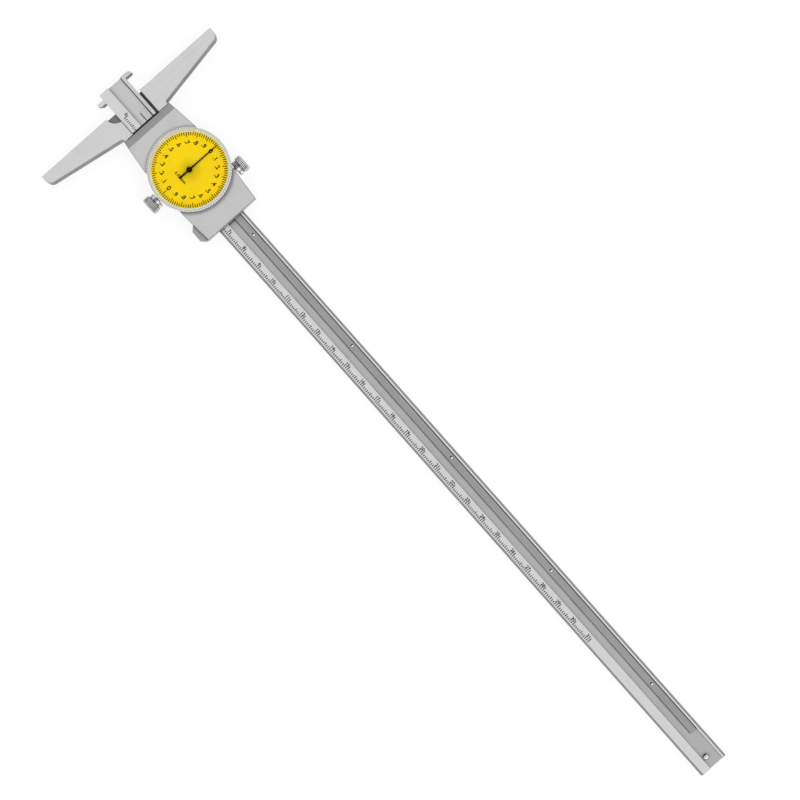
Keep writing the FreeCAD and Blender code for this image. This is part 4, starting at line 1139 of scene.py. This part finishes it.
# %% Tree that rules a straight or a round scale
def build_graduations():
    """Bars of three lengths, stepped along a line or turned round a point."""
    inputs = [("Count", WHOLE, 11), ("Start", VECTOR, (0.0, 0.0, 0.0)), ("Step", VECTOR, (0.0, 0.0, 0.0)),
              ("Turn", FLOAT, 0.0), ("Radius", FLOAT, 0.0), ("Long every", WHOLE, 10),
              ("Middle every", WHOLE, 5), ("Long", FLOAT, 3.0), ("Middle", FLOAT, 2.0),
              ("Short", FLOAT, 1.0), ("Width", FLOAT, 0.1), ("Thickness", FLOAT, 0.1),
              ("Material", "NodeSocketMaterial", None)]
    tree, w, given, result = open_tree("graduations", "GeometryNodeTree", inputs,
                                       [("Geometry", "NodeSocketGeometry")])
    index = w.call("GeometryNodeInputIndex", {})
    shift = w.call("ShaderNodeVectorMath", {0: given["Step"], "Scale": index}, operation="SCALE")
    angle = w.times(index, given["Turn"])
    out_x = w.times(w.math("COSINE", angle), given["Radius"])
    out_y = w.times(w.math("SINE", angle), given["Radius"])
    out = w.point(out_x, out_y)
    place = w.vector("ADD", w.vector("ADD", given["Start"], shift), out)
    points = w.call("GeometryNodePoints", {"Count": given["Count"], "Position": place})
    is_long = w.math("COMPARE", w.math("MODULO", index, given["Long every"]), 0.0)
    is_middle = w.math("COMPARE", w.math("MODULO", index, given["Middle every"]), 0.0)
    middling = w.call("GeometryNodeSwitch", {0: is_middle, 1: given["Short"], 2: given["Middle"]},
                      input_type="FLOAT")
    length = w.call("GeometryNodeSwitch", {0: is_long, 1: middling, 2: given["Long"]}, input_type="FLOAT")
    bar = w.call("GeometryNodeMeshCube", {})
    from_end = w.call("GeometryNodeTransform", {"Geometry": bar, "Translation": (0.5, 0.0, 0.0)})
    size = w.point(length, given["Width"], given["Thickness"])
    spin = w.call("FunctionNodeEulerToRotation", {0: w.point(z=angle)})
    bars = w.call("GeometryNodeInstanceOnPoints", {"Points": points, "Instance": from_end,
                                                   "Rotation": spin, "Scale": size})
    close_tree(w, result, bars, given["Material"])
    return tree


graduations = build_graduations()
print("tree made:", graduations.name)

# %% Rule the beam's millimetres
ink_thickness = 0.02 * MM
reading_now = 8.0 * MM              # the gauge is drawn at this reading
last_millimetre = 310
zero_y = reading_edge + reading_now
scale_left = -5.55 * MM
beam_ticks = grow("beam_ticks", graduations, {
    "Count": last_millimetre + 1, "Start": (scale_left, zero_y, beam_front), "Step": (0.0, -1.0 * MM, 0.0),
    "Long": 2.35 * MM, "Middle": 1.55 * MM, "Short": 1.1 * MM, "Width": 0.4 * MM,
    "Thickness": ink_thickness, "Material": scale_ink})
print("zero stands at", round(zero_y / MM, 2), "mm")

# %% [markdown]
# ## Figures
# Numbers are text objects, turned into thin meshes and laid on the face, because a model
# keeps its meshes when it is exported and loses its text.  They read with the beam lying
# to the right, so each stands with its head towards +X.

# %% A helper that sets figures
def digit_size():
    """Text size at which a digit is one metre high."""
    curve = bpy.data.curves.new("gauge digit", "FONT")
    curve.body = "0"
    probe = bpy.data.objects.new("gauge digit", curve)
    bpy.context.scene.collection.objects.link(probe)
    bpy.context.view_layer.update()
    height = probe.dimensions.y
    bpy.data.objects.remove(probe)
    return 1 / height


full_size = digit_size()
QUARTER_TURN = Matrix.Rotation(math.radians(-90), 4, "Z")


def figure(text, height, place, weight, align="CENTER", up="CENTER"):
    """One figure as a mesh, its head towards +X, at a place on a face."""
    curve = bpy.data.curves.new("figure", "FONT")
    curve.body = text
    curve.size = height * full_size
    curve.align_x = align
    curve.align_y = up
    curve.resolution_u = 3
    curve.extrude = ink_thickness / 2
    curve.offset = weight
    letter = bpy.data.objects.new("figure", curve)
    bpy.context.scene.collection.objects.link(letter)
    evaluated = letter.evaluated_get(bpy.context.evaluated_depsgraph_get())
    mesh = bpy.data.meshes.new_from_object(evaluated)
    mesh.transform(Matrix.Translation(place) @ QUARTER_TURN)
    bpy.data.objects.remove(letter)
    return mesh


print("a one metre digit needs text size", round(full_size, 3))

# %% Number the beam's centimetres
beam_figure_height = 1.5 * MM
beam_figure_weight = 0.07 * MM
figure_foot = -4.25 * MM
figure_gap = 0.45 * MM
beam_figures = []
for centimetre in range(last_millimetre // 10 + 1):
    y = zero_y - centimetre * 10 * MM + figure_gap
    place = Vector((figure_foot, y, beam_front))
    beam_figures.append(figure(str(centimetre), beam_figure_height, place, beam_figure_weight,
                               "RIGHT", "BOTTOM_BASELINE"))
beam_scale = weld("beam_scale", [beam_ticks] + beam_figures, [scale_ink])
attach(beam_scale, "beam")
print("figures on the beam:", len(beam_figures))

# %% [markdown]
# ## The dial's print
# One turn is two millimetres, so the ring runs twice from 0 to .9, clockwise, with the
# first 0 under the pointer.  A hundred lines part it, and each fifth carries a figure.  A
# thin cream ring outside the lines is painted light, where the cap's wall lets light down to the dial.

# %% Print the dial
dial_lines = 100
figure_every = 5
print_radius = 17.0 * MM
dial_ticks = grow("dial_ticks", graduations, {
    "Count": dial_lines, "Start": (dial_centre.x, dial_centre.y, dial_face),
    "Turn": -2 * math.pi / dial_lines, "Radius": print_radius, "Long every": dial_lines // 2,
    "Middle every": figure_every, "Long": -3.0 * MM, "Middle": -2.3 * MM, "Short": -1.6 * MM,
    "Width": 0.35 * MM, "Thickness": ink_thickness, "Material": dial_ink})
figure_ring = 12.4 * MM
dial_figure_weight = 0.085 * MM
zero_height = 2.3 * MM
tenth_height = 1.95 * MM
dial_figures = []
for number in range(dial_lines // figure_every):
    angle = -2 * math.pi * number * figure_every / dial_lines
    tenth = number % 10
    text = str(tenth) if tenth == 0 else "." + str(tenth)
    height = zero_height if tenth == 0 else tenth_height
    place = Vector((dial_centre.x + figure_ring * math.cos(angle),
                    dial_centre.y + figure_ring * math.sin(angle), dial_face))
    dial_figures.append(figure(text, height, place, dial_figure_weight))
value_offset = 5.4 * MM             # the graduation's value stands this far from the middle
value_height = 1.35 * MM
value_weight = 0.055 * MM
value_place = Vector((dial_centre.x - value_offset, dial_centre.y, dial_face))
dial_figures.append(figure("0.02 mm", value_height, value_place, value_weight))
for letter in dial_figures:
    letter.materials.append(dial_ink)
# the cream ring of painted light, outside the lines
ring_in = print_radius - 0.05 * MM
ring_out = opening + 0.12 * MM
ring_profile = [(ring_in, dial_face), (ring_out, dial_face), (ring_out, dial_face + ink_thickness / 2),
                (ring_in, dial_face + ink_thickness / 2)]
cream_mesh = turn("cream ring", ring_profile, over_dial, cap_steps, closed=True, finishes=[1] * 4)
dial_print = weld("dial_print", [dial_ticks] + dial_figures + [cream_mesh], [dial_ink, cream_light_ring])
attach(dial_print, "bezel")
print("figures on the dial:", len(dial_figures))

# %% [markdown]
# ## Bench and light
# The gauge lies on a pale bench under a soft sky that is brightest overhead and greyer
# towards the horizon, so that sloped and upright faces read darker than level ones.  One
# large lamp adds direction.  Several small lamps would show as spots in the metal.  The
# bench glows a little for the camera and for reflections, which lifts it to white while
# the gauge's shadow stays on it.

# %% The bench
BENCH_GLOW = 0.87


def bench_material():
    """Faintly clouded grey that glows for the camera and for reflections."""
    material, w, shader, position = start_material("bench")
    cloud = w.noise(position, 3.0)
    grey = w.ramp(cloud, 0.3, 0.7, 0.145, 0.155)
    w.feed(shader.inputs["Base Color"], w.grey(grey))
    shader.inputs["Roughness"].default_value = 0.9
    shader.inputs["Specular IOR Level"].default_value = 0.0
    rays = w.add("ShaderNodeLightPath").outputs
    seen = w.math("MAXIMUM", rays["Is Camera Ray"], rays["Is Glossy Ray"])
    seen = w.math("MAXIMUM", seen, rays["Is Transmission Ray"])
    w.feed(shader.inputs["Emission Color"], (1.0, 1.0, 1.0, 1.0))
    w.feed(shader.inputs["Emission Strength"], w.times(seen, BENCH_GLOW))
    return material


bench_half = 6.0
bench_gap = 0.03 * MM
corners = [(x * bench_half, y * bench_half, bench_top - bench_gap)
           for x, y in ((-1, -1), (1, -1), (1, 1), (-1, 1))]
bench_mesh = bpy.data.meshes.new("bench")
bench_mesh.from_pydata(corners, [], [(0, 1, 2, 3)])
bench = keep_mesh("bench", bench_mesh, [bench_material()])
print("bench at", round(bench_top / MM, 3), "mm")

# %% The sky
world = bpy.data.worlds.new("soft sky")
bpy.context.scene.world = world
world.use_nodes = True
sky = Wiring(world.node_tree)
height_in_sky = sky.along(sky.add("ShaderNodeTexCoord").outputs["Generated"], "Z")
horizon_glow = 0.38
glow = sky.ramp(height_in_sky, 0.3, 0.72, horizon_glow, 1.0)
sky.feed(world.node_tree.nodes["Background"].inputs["Color"], sky.grey(glow))
world.node_tree.nodes["Background"].inputs["Strength"].default_value = 1.0
print("sky made")

# %% The lamp
lamp_target = Vector((0.0, -0.15, 0.0))


def soft_lamp(name, place, size, power):
    """A square lamp that looks at the gauge's middle."""
    data = bpy.data.lights.new(name, "AREA")
    data.shape = "SQUARE"
    data.size = size
    data.energy = power
    lamp = bpy.data.objects.new(name, data)
    lamp.location = place
    lamp.rotation_euler = (lamp_target - lamp.location).to_track_quat("-Z", "Y").to_euler()
    lamp.visible_glossy = False        # metal mirrors the sky alone, so its tone is even
    bpy.context.scene.collection.objects.link(lamp)


soft_lamp("key lamp", Vector((0.25, -1.5, 2.3)), size=1.4, power=15.0)

# %% The camera
view_middle = Vector((3.37 * MM, -180.69 * MM, beam_front))
view_distance = 1.4
view_width = 0.35334            # width of the picture at its middle
view_tilt = math.radians(4)     # the camera stands a little towards the beam's far end
view_roll = math.radians(-41.56)
camera_data = bpy.data.cameras.new("camera")
camera_data.sensor_width = 36.0
camera_data.lens = camera_data.sensor_width * view_distance / view_width
camera_data.clip_start = 0.05
camera = bpy.data.objects.new("camera", camera_data)
turned_view = Matrix.Rotation(view_tilt, 4, "X") @ Matrix.Rotation(view_roll, 4, "Z")
back_off = Matrix.Translation((0, 0, view_distance))
camera.matrix_world = Matrix.Translation(view_middle) @ turned_view @ back_off
bpy.context.scene.collection.objects.link(camera)
bpy.context.scene.camera = camera
bpy.context.scene.view_settings.view_transform = "Standard"
print("lens:", round(camera_data.lens, 1), "mm")

# %% Finish
print("scene built")
